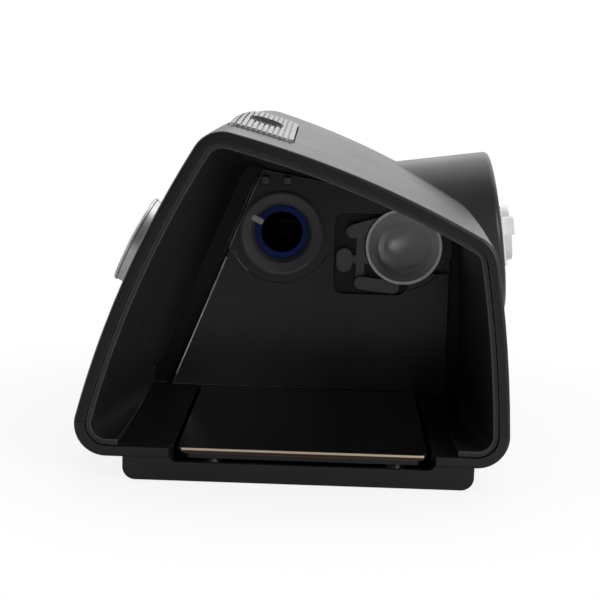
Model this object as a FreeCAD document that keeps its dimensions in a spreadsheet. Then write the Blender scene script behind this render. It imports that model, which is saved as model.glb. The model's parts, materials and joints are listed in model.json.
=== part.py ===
"""Desktop CPAP machine with its water tub taken out, as separate named pieces.

Frame: millimetres, +Z up. The user stands in front at -Y, the tub bay opens at +X.
The origin is at the bottom centre of the machine, on the surface that it stands on.
"""
import FreeCAD, Part
import math
import os
import re
from types import SimpleNamespace

from FreeCAD import Placement, Rotation, Vector
import Sketcher

os.makedirs("parts", exist_ok=True)
doc = FreeCAD.newDocument("cpap_machine")

# ---------------------------------------------------------------- driving dimensions
SIZES = (
    # housing outline in the YZ plane, at the rim round the tub bay
    ("half_width", 95.0, "centre to either end of the housing"),
    ("skirt_z", 7.6, "underside of the housing, above the plinth"),
    ("low_front_y", -73.7, "sharp corner, front foot of the outline"),
    ("top_front_y", -31.5, "sharp corner, top of the front face"),
    ("top_front_z", 110.5, "sharp corner, top of the front face"),
    ("ridge_back", 10.0, "how far that corner has run back by the closed end"),
    ("top_rear_y", 57.0, "sharp corner, top of the rear face"),
    ("top_rear_z", 76.9, "sharp corner, top of the rear face"),
    ("low_rear_y", 64.4, "sharp corner, rear foot of the outline"),
    ("front_swell", 4.9, "how far the front line bows out of its chord"),
    ("top_swell", 3.5, "how far the top line bows out of its chord, at the rim"),
    ("top_flatten", 0.6, "how much flatter the top line is at the closed end"),
    ("rear_swell", 1.5, "how far the rear line bows out of its chord"),
    ("corner_round", 10.0, "radius of the outline's four corners"),
    ("crown", 2.65, "rise of the top at mid width"),
    ("end_fall", 0.5, "how much lower the top is at the closed end"),
    ("front_bulge", 2.6, "forward bow of the front's foot at mid width"),
    ("front_bow", 2.4, "extra swell of the front line at mid width"),
    ("end_round", 5.0, "rounding round the closed end"),
    ("rim_round", 1.0, "rounding of the rim's outer edge"),
    ("wall", 2.4, "moulded wall of the housings"),
    ("rim_wall", 3.3, "thickness of the rim round the bay"),
    ("rim_depth", 4.0, "how deep the thick rim reaches"),
    ("seam_z", 18.6, "parting line between tray and upper housing"),
    ("seam_gap", 0.2, "width of every parting line"),
    # plinth and feet
    ("foot_stand", 0.4, "how far the rubber feet stand below the plinth"),
    ("plinth_front_y", -55.9, "front of the plinth"),
    ("plinth_rear_y", 53.5, "rear of the plinth"),
    ("plinth_end_gap", 0.8, "plinth's end, in from the rim plane"),
    ("plinth_round", 4.0, "rounding along the plinth's front and rear"),
    ("foot_radius", 6.0, "rubber foot"),
    ("foot_seat", 1.0, "how deep a foot is let into the plinth"),
    ("foot_inset_x", 16.0, "foot centre to the plinth's end"),
    ("foot_inset_y", 14.0, "foot centre to the plinth's front or rear"),
    # tub bay
    ("port_wall_x", -4.0, "bay face of the end wall, in its dark channel"),
    ("port_wall_thick", 2.4, "end wall of the bay"),
    ("liner_wall", 1.6, "wall of the bay liner"),
    ("liner_set_back", 1.5, "liner's front edge behind the rim plane"),
    ("liner_toe", 16.0, "liner's foot ends this far from the outline's corners"),
    ("bay_low_front_y", -58.8, "sharp corner of the bay at its end wall"),
    ("bay_top_back", 6.6, "bay's top front corner behind the outline's, at the end wall"),
    ("bay_top_drop", 18.1, "bay's top front corner below the outline's, at the end wall"),
    ("bay_top_rear_y", 52.6, "sharp corner of the bay at its end wall"),
    ("bay_top_rear_z", 77.0, "sharp corner of the bay at its end wall"),
    ("bay_low_rear_y", 55.6, "sharp corner of the bay at its end wall"),
    ("bay_swell", 0.8, "bow of the bay's sides at its end wall"),
    ("bay_round", 5.0, "corner radius of the bay at its end wall"),
    ("margin_width", 6.2, "dark channel between the liner and the wall panel, front"),
    ("rear_margin", 4.65, "the same channel at the rear"),
    ("panel_rise", 3.0, "wall panel stands proud of the channel"),
    ("port_plate_rise", 1.2, "port plate stands proud of the wall panel"),
    ("wall_bevel", 0.4, "bevel along the edges of the panel and the port plate"),
    ("plate_front_z", 67.8, "port plate's lower edge at the front"),
    ("plate_front_y", -46.0, "port plate's front end"),
    ("plate_step_y", -24.5, "port plate's lower edge meets the port's boss here"),
    ("plate_step_z", 58.9, "port plate's lower edge at the port's boss"),
    ("plate_low_z", 60.8, "port plate's lower edge behind the port"),
    ("plate_low_y", 6.0, "port plate's lower edge behind the port starts here"),
    ("flange_boss", 2.6, "port plate's boss beyond the elbow's flange"),
    ("latch_skin", 0.4, "panel left in the recesses of the end wall"),
    ("latch_room_y", 8.0, "front of the latch's recess"),
    ("latch_room_low", 46.2, "lower edge of the latch's recess"),
    ("latch_room_high", 76.5, "upper edge of the latch's recess"),
    ("latch_room_round", 4.0, "corner radius of the latch's recess"),
    ("slot_out", 11.0, "slot beside the elbow starts this far behind its centre"),
    ("slot_low_z", 54.6, "slot beside the elbow"),
    ("slot_wide", 2.0, "slot beside the elbow"),
    # heater
    ("notch_half", 41.5, "half width of the notch in the front lip"),
    ("notch_z", 6.3, "bottom of the notch in the front lip"),
    ("notch_round", 2.4, "corner radius of the notch"),
    ("plate_half", 39.2, "half width of the heater plate"),
    ("plate_thick", 1.4, "heater plate"),
    ("plate_top_z", 10.2, "upper face of the heater plate, with no tub on it"),
    ("plate_set_back", 4.0, "plate's front edge behind the rim plane"),
    ("plate_wall_gap", 1.5, "plate's rear edge to the panel of the end wall"),
    ("plate_round", 2.0, "corner radius of the heater plate"),
    ("element_thick", 0.6, "heating film under the plate"),
    ("carrier_thick", 1.7, "insulating carrier under the film"),
    ("carrier_edge", 2.0, "how far the carrier stays in from the plate's edge"),
    ("plate_travel", 1.2, "how far the sprung plate sinks under a tub"),
    ("well_clear", 1.6, "gap between the plate's edge and its well"),
    ("well_z", 3.0, "floor of the heater well"),
    ("spring_inset", 10.0, "spring centre in from the plate's corner"),
    ("spring_radius", 3.2, "coil radius of a plate spring"),
    ("spring_wire", 0.5, "wire of a plate spring"),
    ("post_radius", 1.5, "guide post of the plate"),
    ("post_clear", 0.35, "guide post to its hole"),
    # ports in the end wall
    ("blower_port_y", -11.3, "centre of the blower's port"),
    ("blower_port_z", 68.2, "centre of the blower's port"),
    ("port_boss_radius", 18.7, "round boss of the port plate"),
    ("port_ring_radius", 15.2, "outside of the grey ring"),
    ("port_ring_rise", 2.6, "ring stands proud of the port plate"),
    ("port_ring_lip", 11.2, "inner edge of the ring's bevel"),
    ("port_ring_edge", 0.9, "chamfer of the ring's outer edge"),
    ("ring_seat", 2.7, "ring's sleeve round the seal"),
    ("ring_fit", 0.2, "clearance round the seal and round the ring's sleeve"),
    ("duct_tail", 6.0, "ring's duct reaches this far behind the end wall"),
    ("duct_wall", 1.6, "wall of the ring's duct"),
    ("seal_outer", 9.7, "blue seal, outside radius"),
    ("seal_inner", 7.55, "blue seal, radius of its hole"),
    ("seal_sink", 2.2, "seal's face behind the wall panel's face"),
    ("seal_length", 4.0, "blue seal along its bore"),
    ("elbow_port_y", 33.5, "centre of the elbow's inner end"),
    ("elbow_port_z", 64.7, "centre of the elbow's inner end"),
    ("flange_radius", 13.9, "outside of the elbow's bay flange"),
    ("flange_rise", 3.2, "flange stands proud of the wall panel"),
    ("flange_drop", 1.7, "elbow's bore below the centre of its flange"),
    ("elbow_bore", 9.2, "airway radius of the elbow"),
    ("elbow_wall", 1.3, "wall of the elbow"),
    ("elbow_mouth", 10.0, "radius of the funnel's throat"),
    ("elbow_mouth_length", 5.0, "straight socket in the bay flange"),
    ("elbow_lead", 1.0, "elbow's bend side starts this far behind its socket"),
    ("flange_edge", 1.2, "straight edge of the elbow's flange"),
    ("flange_lip", 1.0, "land round the funnel"),
    ("throat_sink", 0.6, "funnel's root behind the panel's face"),
    ("elbow_seal_thick", 1.5, "ring seal on the elbow"),
    ("elbow_seal_length", 2.0, "ring seal on the elbow"),
    ("elbow_seal_gap", 0.4, "ring seal behind the well's floor"),
    ("seal_fit", 0.1, "ring seal to the elbow"),
    ("finger_radius", 2.5, "half width of the latch's upper finger"),
    ("finger_low_radius", 2.4, "half width of the latch's lower finger"),
    ("thumb_radius", 2.8, "half width of the latch's thumb pad"),
    ("bar_radius", 1.6, "half width of the latch's back bars"),
    ("bar_thick", 1.2, "latch's back bars"),
    ("finger_proud", 0.6, "latch's fingers stand proud of the port plate"),
    ("thumb_proud", 0.2, "latch's thumb pad stands proud of the port plate"),
    ("latch_clear", 0.3, "latch to the elbow's flange"),
    ("catch_y", -13.5, "middle between the two tub catches"),
    ("catch_pitch", 8.0, "spacing of the tub catches"),
    ("catch_z", 85.8, "lower edge of the tub catches"),
    ("catch_height", 3.4, "tub catches"),
    ("catch_width", 2.4, "tub catches"),
    ("catch_out", 2.4, "tub catches stand out of the port plate"),
    ("catch_round", 0.8, "edge radius of the tub catches"),
    # rear outlet
    ("outlet_x", -25.0, "axis of the rear outlet"),
    ("outlet_tilt", 8.0, "degrees that the outlet points up"),
    ("outlet_bend", 13.8, "bend radius of the elbow's centre line"),
    ("barrel_radius", 31.0, "outside of the outlet barrel"),
    ("barrel_end", 36.2, "end face of the barrel, from the port centre along the axis"),
    ("barrel_root", 14.0, "how far inside the wall the barrel's bore starts"),
    ("barrel_edge", 2.0, "rounding of the barrel's end"),
    ("cuff_radius", 16.4, "well round the hose connector"),
    ("cuff_depth", 18.0, "depth of the well"),
    ("stub_radius", 11.0, "hose connector, 22 mm male"),
    ("stub_length", 23.0, "hose connector, from its collar to its end"),
    ("collar_radius", 13.4, "collar at the connector's root"),
    ("collar_thick", 1.6, "collar at the connector's root"),
    ("contact_rise", 4.6, "contact block stands beyond the barrel's end"),
    ("contact_height", 6.3, "contact block"),
    ("contact_width", 7.0, "contact block"),
    ("contact_strip", 18.6, "light strip under the contact block"),
    ("contact_margin", 3.0, "contact block's side to the well's edge"),
    ("contact_lift", 4.8, "contact block above the barrel's axis"),
    ("key_tab_turn", 152.0, "degrees that the port key is turned round the ring"),
    ("tab_width", 2.2, "port key"),
    ("tab_rise", 0.9, "port key stands proud of the port plate"),
    ("tab_lap", 1.0, "port key reaches over the ring's bevel"),
    ("tab_round", 0.7, "corner radius of the port key"),
    # front controls
    ("dial_x", 18.0, "centre of the dial"),
    ("dial_z", 64.0, "centre of the dial"),
    ("dial_radius", 16.0, "outside of the dial"),
    ("dial_height", 5.4, "dial's side"),
    ("dial_lift", 1.75, "dial's underside above its shallow recess, room to press it"),
    ("dial_recess", 0.6, "depth of the dial's shallow recess"),
    ("dial_margin", 1.2, "recess beyond the dial's side"),
    ("dial_dome", 1.1, "rise of the dial's dark face"),
    ("dial_skirt", 1.4, "dial's side, ring and knob meet this far in"),
    ("shaft_seat", 1.5, "knob's face over the end of its shaft"),
    ("shaft_floor", 1.6, "encoder's floor under the shaft's bore"),
    ("dial_travel", 0.7, "press of the dial"),
    ("ring_width", 2.6, "bright ring round the dial's face"),
    ("ring_bevel", 0.6, "rounded shoulder of the bright ring"),
    ("band_depth", 0.3, "shallow band round the bright ring"),
    ("band_land", 0.7, "bright lines above and below the band"),
    ("groove_depth", 0.8, "dark groove round the dial's foot"),
    ("groove_width", 0.9, "dark groove round the dial's foot"),
    ("shaft_radius", 3.0, "push shaft of the dial"),
    ("shaft_clear", 0.05, "running clearance of the shaft in the knob"),
    ("hole_clear", 0.5, "shafts and keys in their panel holes"),
    ("encoder_half", 6.0, "half the encoder's square body"),
    ("encoder_height", 4.5, "encoder body"),
    ("encoder_neck", 1.2, "encoder's neck round the shaft, wall and height"),
    ("board_room", 1.6, "free space between the front wall and the encoder"),
    ("home_z", 41.0, "centre of the home button"),
    ("home_radius", 5.0, "home button"),
    ("home_travel", 0.6, "press of the home button"),
    ("home_rise", 0.9, "home button stands proud of the panel"),
    ("home_sink", 4.2, "home button's stem ends this far behind the panel's face"),
    ("home_flange", 0.9, "home button's flange behind the panel"),
    ("switch_half", 3.0, "half the home switch's square body"),
    ("switch_stem", 1.6, "radius of the home switch's stem"),
    ("switch_play", 0.1, "switches to what presses them"),
    ("screen_end_gap", 12.0, "screen window to the front panel's left edge"),
    ("screen_width", 60.0, "screen window"),
    ("screen_low_gap", 14.0, "screen window above the front panel's lower edge"),
    ("screen_high_gap", 6.0, "screen window below the front panel's upper edge"),
    ("screen_round", 3.0, "corner radius of the screen window"),
    ("fascia_end_gap", 9.0, "front panel to the ends of the housing"),
    ("fascia_low_z", 34.0, "lower edge of the front panel"),
    ("fascia_high_z", 96.0, "upper edge of the front panel"),
    ("fascia_round", 6.0, "corner radius of the front panel"),
    ("board_thick", 1.6, "circuit boards"),
    ("board_x", -20.0, "middle of the display board"),
    ("lcd_thick", 3.6, "screen module"),
    ("lcd_edge", 1.0, "screen module in from its window's edge"),
    ("board_edge", 5.0, "display board beyond what it carries"),
    ("sensor_out", 32.0, "light sensor's window beside the dial's centre"),
    ("sensor_drop", 12.0, "light sensor's window below the front panel's upper edge"),
    ("sensor_radius", 2.0, "light sensor's window"),
    # start/stop button on the top
    ("key_end_gap", 18.0, "button's near end to the rim plane"),
    ("key_y", -16.0, "centre of the start/stop button"),
    ("key_drop", 1.6, "button's underside to its switch carrier"),
    ("key_length", 64.0, "button along the machine's width"),
    ("key_width", 20.6, "button from front to rear"),
    ("key_thick", 2.6, "button cap"),
    ("key_rise", 0.9, "button stands proud of the top"),
    ("key_round", 3.0, "corner radius of the button"),
    ("key_gap", 0.5, "gap round the button"),
    ("key_travel", 0.6, "press of the button"),
    ("rib_pitch", 1.7, "ribs on the button"),
    ("rib_groove", 0.5, "groove between two ribs"),
    ("dish_long", 12.0, "half length of the button's dish"),
    ("dish_short", 6.3, "half width of the button's dish"),
    ("dish_depth", 1.3, "depth of the button's dish"),
    ("carrier_plate", 0.8, "switch carrier under the button"),
    ("carrier_lap", 1.5, "switch carrier beyond the button's outline"),
    ("carrier_rim", 0.9, "switch carrier's raised rim"),
    ("dome_radius", 3.0, "dome switches under the button"),
    # blower and air path
    ("blower_x", -50.0, "motor axis"),
    ("blower_y", 2.9, "motor axis"),
    ("volute_radius", 25.0, "outside of the volute"),
    ("volute_wall", 1.8, "wall of the volute"),
    ("volute_height", 24.0, "outside height of the volute"),
    ("volute_duct_end", -22.0, "volute's outlet ends here"),
    ("intake_radius", 9.0, "volute's intake in its floor"),
    ("intake_collar", 5.0, "intake collar reaches down into the muffler"),
    ("impeller_radius", 19.0, "impeller"),
    ("impeller_disc", 1.2, "impeller's back disc"),
    ("impeller_height", 7.0, "impeller's blades"),
    ("blade_thick", 0.9, "impeller's blades"),
    ("blade_root", 8.0, "blades start this far from the shaft"),
    ("blade_turn", 38.0, "degrees that a blade leans back"),
    ("blade_count", 11, "impeller blades"),
    ("hub_radius", 4.0, "impeller hub"),
    ("rotor_radius", 1.5, "motor shaft"),
    ("stator_radius", 12.6, "motor windings"),
    ("stator_height", 6.4, "motor windings"),
    ("magnet_gap", 0.6, "air gap of the motor"),
    ("magnet_wall", 1.8, "magnet ring"),
    ("bearing_radius", 4.0, "shaft bearings"),
    ("bearing_height", 2.2, "shaft bearings"),
    ("running_gap", 0.05, "radial running clearance"),
    ("boot_wall", 1.6, "silicone boot"),
    ("boot_ridge", 2.0, "bellows ridge of the boot"),
    ("boot_lap", 2.5, "boot's grip on the volute's outlet"),
    ("boot_end", 1.5, "boot ends this far behind the bay's end wall"),
    ("foot_spread", 0.6, "feet stand at this share of the volute's radius"),
    ("shaft_out", 1.0, "motor shaft beyond the impeller's hub"),
    ("stator_foot", 2.0, "stator's foot round the upper bearing"),
    ("stator_step", 1.6, "height of the stator's foot"),
    ("foot_wide", 4.0, "blower's silicone feet"),
    ("duct_radius", 9.0, "airway from the volute to the port"),
    ("muffler_low_z", 29.0, "underside of the muffler box"),
    ("muffler_height", 21.0, "muffler box"),
    ("muffler_wall", 1.5, "wall of the muffler box"),
    ("muffler_port_gap", 7.6, "muffler box to the back of the bay's end wall"),
    ("muffler_front_y", -14.0, "muffler box"),
    ("muffler_rear_y", 40.0, "muffler box"),
    ("tunnel_inset", 1.0, "intake tunnel in from the filter cover's sides"),
    ("tunnel_drop", 2.0, "intake tunnel in from the filter cover's ends"),
    ("doorway_inset", 2.0, "doorway in from the tunnel's sides"),
    ("main_board_z", 12.4, "underside of the main board"),
    ("board_end_gap", 9.0, "main board to the closed end"),
    ("board_port_gap", 6.6, "main board to the back of the bay's end wall"),
    ("board_front_gap", 9.9, "main board to the plinth's front"),
    ("board_rear_gap", 7.5, "main board to the plinth's rear"),
    ("board_hole_inset", 4.0, "main board's screw holes from its edges"),
    ("ribbon_x", -30.0, "middle of the display's flat cable"),
    ("ribbon_half", 7.0, "half width of the display's flat cable"),
    ("ribbon_thick", 0.3, "display's flat cable"),
    ("ribbon_drop", 24.0, "flat cable leaves the board this far below its middle"),
    ("socket_height", 2.4, "flat cable's socket on the main board"),
    ("socket_deep", 4.0, "flat cable's socket on the main board"),
    ("board_grid", 2.0, "grid on which the main board's parts sit"),
    ("sensor_height", 5.0, "flow and pressure sensors"),
    ("nipple_radius", 1.2, "hose nipples of the sensors"),
    ("nipple_height", 4.0, "hose nipples of the sensors"),
    ("hose_radius", 2.0, "pressure hose"),
    ("hose_bend", 6.0, "bend of the pressure hose"),
    ("screw_radius", 1.5, "thread of the board screws"),
    ("screw_head", 2.8, "head of the board screws"),
    ("screw_head_height", 1.8, "head of the board screws"),
    # rear and side covers
    ("filter_end_gap", 5.0, "filter cover to the closed end"),
    ("filter_z", 46.0, "centre of the filter cover"),
    ("filter_width", 24.0, "filter cover"),
    ("filter_height", 38.0, "filter cover"),
    ("cover_gap", 0.65, "gap round the covers, room for their lower edge to swing"),
    ("rear_cover_round", 3.0, "corner radius of the filter cover"),
    ("side_cover_round", 2.0, "corner radius of the covers in the closed end"),
    ("hinge_radius", 1.2, "hinge knuckles of the covers"),
    ("hinge_depth", 1.45, "hinge axis behind the outer face"),
    ("hinge_inset", 3.0, "hinge axis above a cover's lower edge"),
    ("hinge_end", 3.0, "hinge axis ends this far from a cover's sides"),
    ("louvre_pitch", 4.6, "slots in the filter cover"),
    ("louvre_gap", 1.8, "slots in the filter cover"),
    ("louvre_inset", 5.0, "slots end this far from the cover's sides"),
    ("filter_seat_y", 50.0, "front of the air filter"),
    ("filter_thick", 6.0, "air filter"),
    ("filter_pleats_count", 10, "pleats of the air filter"),
    ("filter_edge", 3.0, "air filter in from the cover's ends"),
    ("filter_frame", 1.5, "frame round the pleats"),
    ("pleat_gap", 1.6, "groove between two pleats"),
    ("foam_thick", 3.0, "muffler foam"),
    ("inlet_gap", 14.0, "power inlet's axis beside the filter cover"),
    ("inlet_z", 25.4, "power inlet"),
    ("inlet_nose", 6.8, "radius of the inlet's round nose"),
    ("inlet_bore", 3.8, "radius of the plug hole"),
    ("inlet_collar", 4.0, "plug hole's guiding length"),
    ("inlet_deep", 13.0, "depth of the plug hole"),
    ("inlet_proud", 0.5, "inlet's nose stands out of the rear wall"),
    ("inlet_pin_radius", 0.8, "centre pin"),
    ("inlet_step", 0.5, "plug hole is wider behind its collar"),
    ("inlet_back", 5.0, "inlet's body behind the plug hole"),
    ("inlet_half", 8.0, "half width of the inlet's block on the board"),
    ("inlet_front", 7.0, "inlet's block starts this far behind its nose"),
    ("clip_above", 11.0, "retention clip's axis above the inlet's axis"),
    ("clip_pin_out", 2.2, "retention clip's axis behind the rear wall"),
    ("clip_half", 9.0, "half the clip's width, to the middle of its arms"),
    ("clip_thick", 1.6, "clip's arms"),
    ("clip_drop", 19.0, "clip's arms below its axis"),
    ("clip_eye", 1.6, "round ends of the clip's arms"),
    ("clip_pin_radius", 0.8, "clip's pin"),
    ("clip_lug", 3.0, "pin beyond the clip's arms"),
    ("sd_y", -30.0, "centre of the memory card's door"),
    ("sd_z", 30.0, "centre of the memory card's door"),
    ("sd_width", 32.0, "memory card's door"),
    ("sd_height", 12.0, "memory card's door"),
    ("card_width", 24.0, "memory card"),
    ("card_length", 32.0, "memory card"),
    ("card_thick", 2.1, "memory card"),
    ("card_travel", 1.8, "push-push travel of the memory card"),
    ("card_gap", 2.5, "memory card's end behind its door's hinge, pressed in"),
    ("card_corner", 4.0, "cut corner of the memory card"),
    ("socket_lap", 5.0, "memory card stands out of its socket"),
    ("socket_wall", 1.0, "card socket's shell"),
    ("socket_leg", 2.0, "card socket's legs"),
    ("adapter_y", 18.0, "centre of the adapter cover"),
    ("adapter_z", 36.0, "centre of the adapter cover"),
    ("adapter_width", 44.0, "adapter cover"),
    ("adapter_height", 26.0, "adapter cover"),
)

sheet = doc.addObject("Spreadsheet::Sheet", "Sizes")
for row, (alias, value, note) in enumerate(SIZES, start=1):
    sheet.set(f"A{row}", alias)
    sheet.set(f"B{row}", str(value))
    sheet.set(f"C{row}", note)
    sheet.setAlias(f"B{row}", alias)
doc.recompute()
mm = SimpleNamespace(**{alias: float(sheet.get(alias)) for alias, _, _ in SIZES})
ALIASES = {alias for alias, _, _ in SIZES}
NODES = []


# ---------------------------------------------------------------- helpers
def formula(text):
    """Turn an expression in plain aliases into one that reads the sheet."""
    return re.sub(r"[a-z_][a-z0-9_]*", lambda m: "Sizes." + m[0] if m[0] in ALIASES else m[0], text)


def bind(obj, **expressions):
    """Bind properties to the sheet; a double underscore in a name stands for a dot."""
    for name, text in expressions.items():
        obj.setExpression(name.replace("__", "."), formula(text))
    return obj


def place(obj, x="0", y="0", z="0"):
    """Bind an object's place to the sheet."""
    return bind(obj, Placement__Base__x=x, Placement__Base__y=y, Placement__Base__z=z)


def node(obj, label):
    """Give a finished sub-part its name and put it on the list to export."""
    obj.Label = label
    NODES.append(obj)
    return obj


def solid_node(label, shape, placement=None):
    """A sub-part whose shape is made with Part's own functions."""
    obj = doc.addObject("Part::Feature", label)
    obj.Shape = shape
    if placement is not None:
        obj.Placement = placement
    return node(obj, label)


def primitive(kind, name, at=("0", "0", "0"), **expressions):
    """A Part primitive with its sizes and place bound to the sheet."""
    obj = doc.addObject(f"Part::{kind}", name)
    bind(obj, **expressions)
    return place(obj, *at)


def box(name, length, width, height, at):
    """A box from its low corner."""
    return primitive("Box", name, at, Length=length, Width=width, Height=height)


def cylinder(name, radius, height, at, axis="Z"):
    """A cylinder from the centre of its first face, along +X, +Y or +Z."""
    obj = primitive("Cylinder", name, at, Radius=radius, Height=height)
    turns = {"X": Rotation(Vector(0, 1, 0), 90), "Y": Rotation(Vector(1, 0, 0), -90), "Z": Rotation()}
    obj.Placement = Placement(obj.Placement.Base, turns[axis])
    return place(obj, *at)


def cut(name, base, *tools):
    """Base less the tools."""
    obj = doc.addObject("Part::Cut", name)
    obj.Base = base
    obj.Tool = tools[0] if len(tools) == 1 else fuse(name + "_tools", *tools)
    return obj


def fuse(name, *parts):
    """Parts joined into one."""
    obj = doc.addObject("Part::MultiFuse", name)
    obj.Shapes = list(parts)
    return obj


def body(label, listed=True):
    """An empty PartDesign body; a listed one becomes the sub-part of that name."""
    owner = doc.addObject("PartDesign::Body", label)
    return node(owner, label) if listed else owner


def sketch(owner, role, name, offset="0"):
    """A sketch on one of its body's origin planes, moved along the plane's normal."""
    plane = next(item for item in owner.Origin.OriginFeatures if item.Role == role)
    drawing = owner.newObject("Sketcher::SketchObject", name)
    drawing.AttachmentSupport = (plane, "")
    drawing.MapMode = "FlatFace"
    bind(drawing, AttachmentOffset__Base__z=offset)
    return drawing


def pin_point(drawing, geometry, point, x, y):
    """Hold a sketch point at two expressions; a plain 0 puts it on the axis."""
    for kind, text, axis in (("DistanceX", x, -2), ("DistanceY", y, -1)):
        if text == "0":
            drawing.addConstraint(Sketcher.Constraint("PointOnObject", geometry, point, axis))
            continue
        index = drawing.addConstraint(Sketcher.Constraint(kind, -1, 1, geometry, point, 1.0))
        drawing.setExpression(f"Constraints[{index}]", formula(text))


def ring(drawing, x, y, radius):
    """A circle held by its centre and radius."""
    index = drawing.addGeometry(Part.Circle(Vector(0, 0, 0), Vector(0, 0, 1), 1.0), False)
    pin_point(drawing, index, 3, x, y)
    held = drawing.addConstraint(Sketcher.Constraint("Radius", index, 1.0))
    drawing.setExpression(f"Constraints[{held}]", formula(radius))


def polygon(drawing, points):
    """A closed outline of straight edges, each corner held by two expressions."""
    count = len(points)
    guess = [Vector(value(x), value(y), 0) for x, y in points]
    for i in range(count):
        drawing.addGeometry(Part.LineSegment(guess[i], guess[(i + 1) % count]), False)
    first = drawing.GeometryCount - count
    for i in range(count):
        after = first + (i + 1) % count
        drawing.addConstraint(Sketcher.Constraint("Coincident", first + i, 2, after, 1))
    for i, (x, y) in enumerate(points):
        pin_point(drawing, first + i, 1, x, y)


def value(text):
    """The number that the document works out for an expression in plain aliases."""
    return float(sheet.evalExpression(formula(text)))


def rectangle(drawing, x0, x1, y0, y1):
    """An upright rectangle between two pairs of expressions."""
    polygon(drawing, [(x0, y0), (x1, y0), (x1, y1), (x0, y1)])


def feature(owner, kind, name, profile, **expressions):
    """A PartDesign feature on a sketch."""
    obj = owner.newObject(f"PartDesign::{kind}", name)
    obj.Profile = profile
    profile.Visibility = False
    return bind(obj, **expressions)


def pad(owner, name, profile, length, reverse=False):
    """Material added along the sketch's normal."""
    obj = feature(owner, "Pad", name, profile, Length=length)
    obj.Reversed = reverse
    return obj


def pocket(owner, name, profile, depth, reverse=False):
    """Material taken away against the sketch's normal; the volume has to fall."""
    doc.recompute()
    before = owner.Shape.Volume
    obj = feature(owner, "Pocket", name, profile, Length=depth)
    obj.Reversed = reverse
    doc.recompute()
    if owner.Shape.Volume >= before:
        raise RuntimeError(f"{owner.Label}: {name} cuts nothing")
    return obj


def revolve(owner, name, profile, kind="Revolution"):
    """A full turn about the sketch's own vertical axis."""
    obj = feature(owner, kind, name, profile)
    obj.ReferenceAxis = (profile, ["V_Axis"])
    obj.Angle = 360
    return obj


def round_edges(owner, name, radius, test, kind="Fillet"):
    """Fillet or chamfer the edges of a body's last feature that pass a test."""
    doc.recompute()
    tip = owner.Tip
    picked = [f"Edge{i}" for i, edge in enumerate(tip.Shape.Edges, start=1) if test(edge)]
    obj = owner.newObject(f"PartDesign::{kind}", name)
    obj.Base = (tip, picked)
    bind(obj, **{"Radius" if kind == "Fillet" else "Size": radius})
    return obj


def along(axis):
    """A test for straight edges that run along an axis."""
    def test(edge):
        if edge.Curve.TypeId != "Part::GeomLine":
            return False
        return abs(abs(edge.tangentAt(edge.FirstParameter).dot(axis)) - 1) < 1e-6
    return test


X_AXIS = Vector(1, 0, 0)
Y_AXIS = Vector(0, 1, 0)
Z_AXIS = Vector(0, 0, 1)
BIG = 400.0  # longer than the whole machine, for tools that cut right through

# places that follow from other sizes
FILTER_LEFT = "filter_end_gap - half_width"
FILTER_RIGHT = "filter_end_gap + filter_width - half_width"
TUNNEL_LEFT = "filter_end_gap + tunnel_inset - half_width"
MUFFLER_RIGHT = "port_wall_x - port_wall_thick - muffler_port_gap"
BOARD_LEFT = "board_end_gap - half_width"
BOARD_RIGHT = "port_wall_x - port_wall_thick - board_port_gap"
BOARD_FRONT = "plinth_front_y + board_front_gap"
BOARD_REAR = "plinth_rear_y - board_rear_gap"
KEY_X = value("half_width - key_end_gap - key_length / 2")
FILTER_X = value("filter_end_gap + filter_width / 2 - half_width")
INLET_X = value("filter_end_gap + filter_width + inlet_gap - half_width")
SCREEN_LEFT = value("fascia_end_gap + screen_end_gap - half_width")
SCREEN_LOW = value("fascia_low_z + screen_low_gap")
SCREEN_HIGH = value("fascia_high_z - screen_high_gap")


# ---------------------------------------------------------------- housing surfaces
def bowed(start, end, swell):
    """An edge from start to end in a YZ plane that bows outwards by the swell."""
    way = end - start
    out = Vector(0, -way.z, way.y).normalize()
    return Part.Arc(start, (start + end) * 0.5 + out * swell, end).toShape()


def outline(corners, swells, radius, inset=0.0):
    """Four bowed sides with rounded corners, moved in by the inset (out, if negative)."""
    count = len(corners)
    sides = []
    for i, swell in enumerate(swells):
        start, end = corners[i], corners[(i + 1) % count]
        sides.append(bowed(start, end, swell) if swell else Part.LineSegment(start, end).toShape())
    core = Part.Wire(sides).makeOffset2D(-radius)
    return core.makeOffset2D(radius - inset)


def housing_section(x, inset=0.0, shape_x=None):
    """The housing's outline at a station; shape_x says which station's form it takes."""
    form = x if shape_x is None else shape_x
    bow = 1 - (form / mm.half_width) ** 2
    away = (mm.half_width - form) / (2 * mm.half_width)
    rise = mm.crown * bow - mm.end_fall * away ** 2
    ridge_y = mm.top_front_y + mm.ridge_back * (1 - (1 - away) ** 2)
    corners = [
        Vector(x, mm.low_front_y - mm.front_bulge * bow, mm.skirt_z),
        Vector(x, ridge_y, mm.top_front_z + rise),
        Vector(x, mm.top_rear_y, mm.top_rear_z + rise),
        Vector(x, mm.low_rear_y, mm.skirt_z),
    ]
    swells = [mm.front_swell + mm.front_bow * bow, mm.top_swell - mm.top_flatten * away, mm.rear_swell, 0]
    return outline(corners, swells, mm.corner_round, inset)


def bay_top():
    """The bay's top front corner at its end wall, which follows the housing's."""
    return Vector(mm.port_wall_x, mm.top_front_y + mm.bay_top_back, mm.top_front_z - mm.bay_top_drop)


def bay_section(inset=0.0):
    """The bay's outline at its end wall."""
    corners = [
        Vector(mm.port_wall_x, mm.bay_low_front_y, mm.skirt_z),
        bay_top(),
        Vector(mm.port_wall_x, mm.bay_top_rear_y, mm.bay_top_rear_z),
        Vector(mm.port_wall_x, mm.bay_low_rear_y, mm.skirt_z),
    ]
    return outline(corners, [mm.bay_swell] * 3 + [0], mm.bay_round, inset)


def slab(low, high):
    """A block between two corners."""
    size = high - low
    return Part.makeBox(size.x, size.y, size.z, low)


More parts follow.
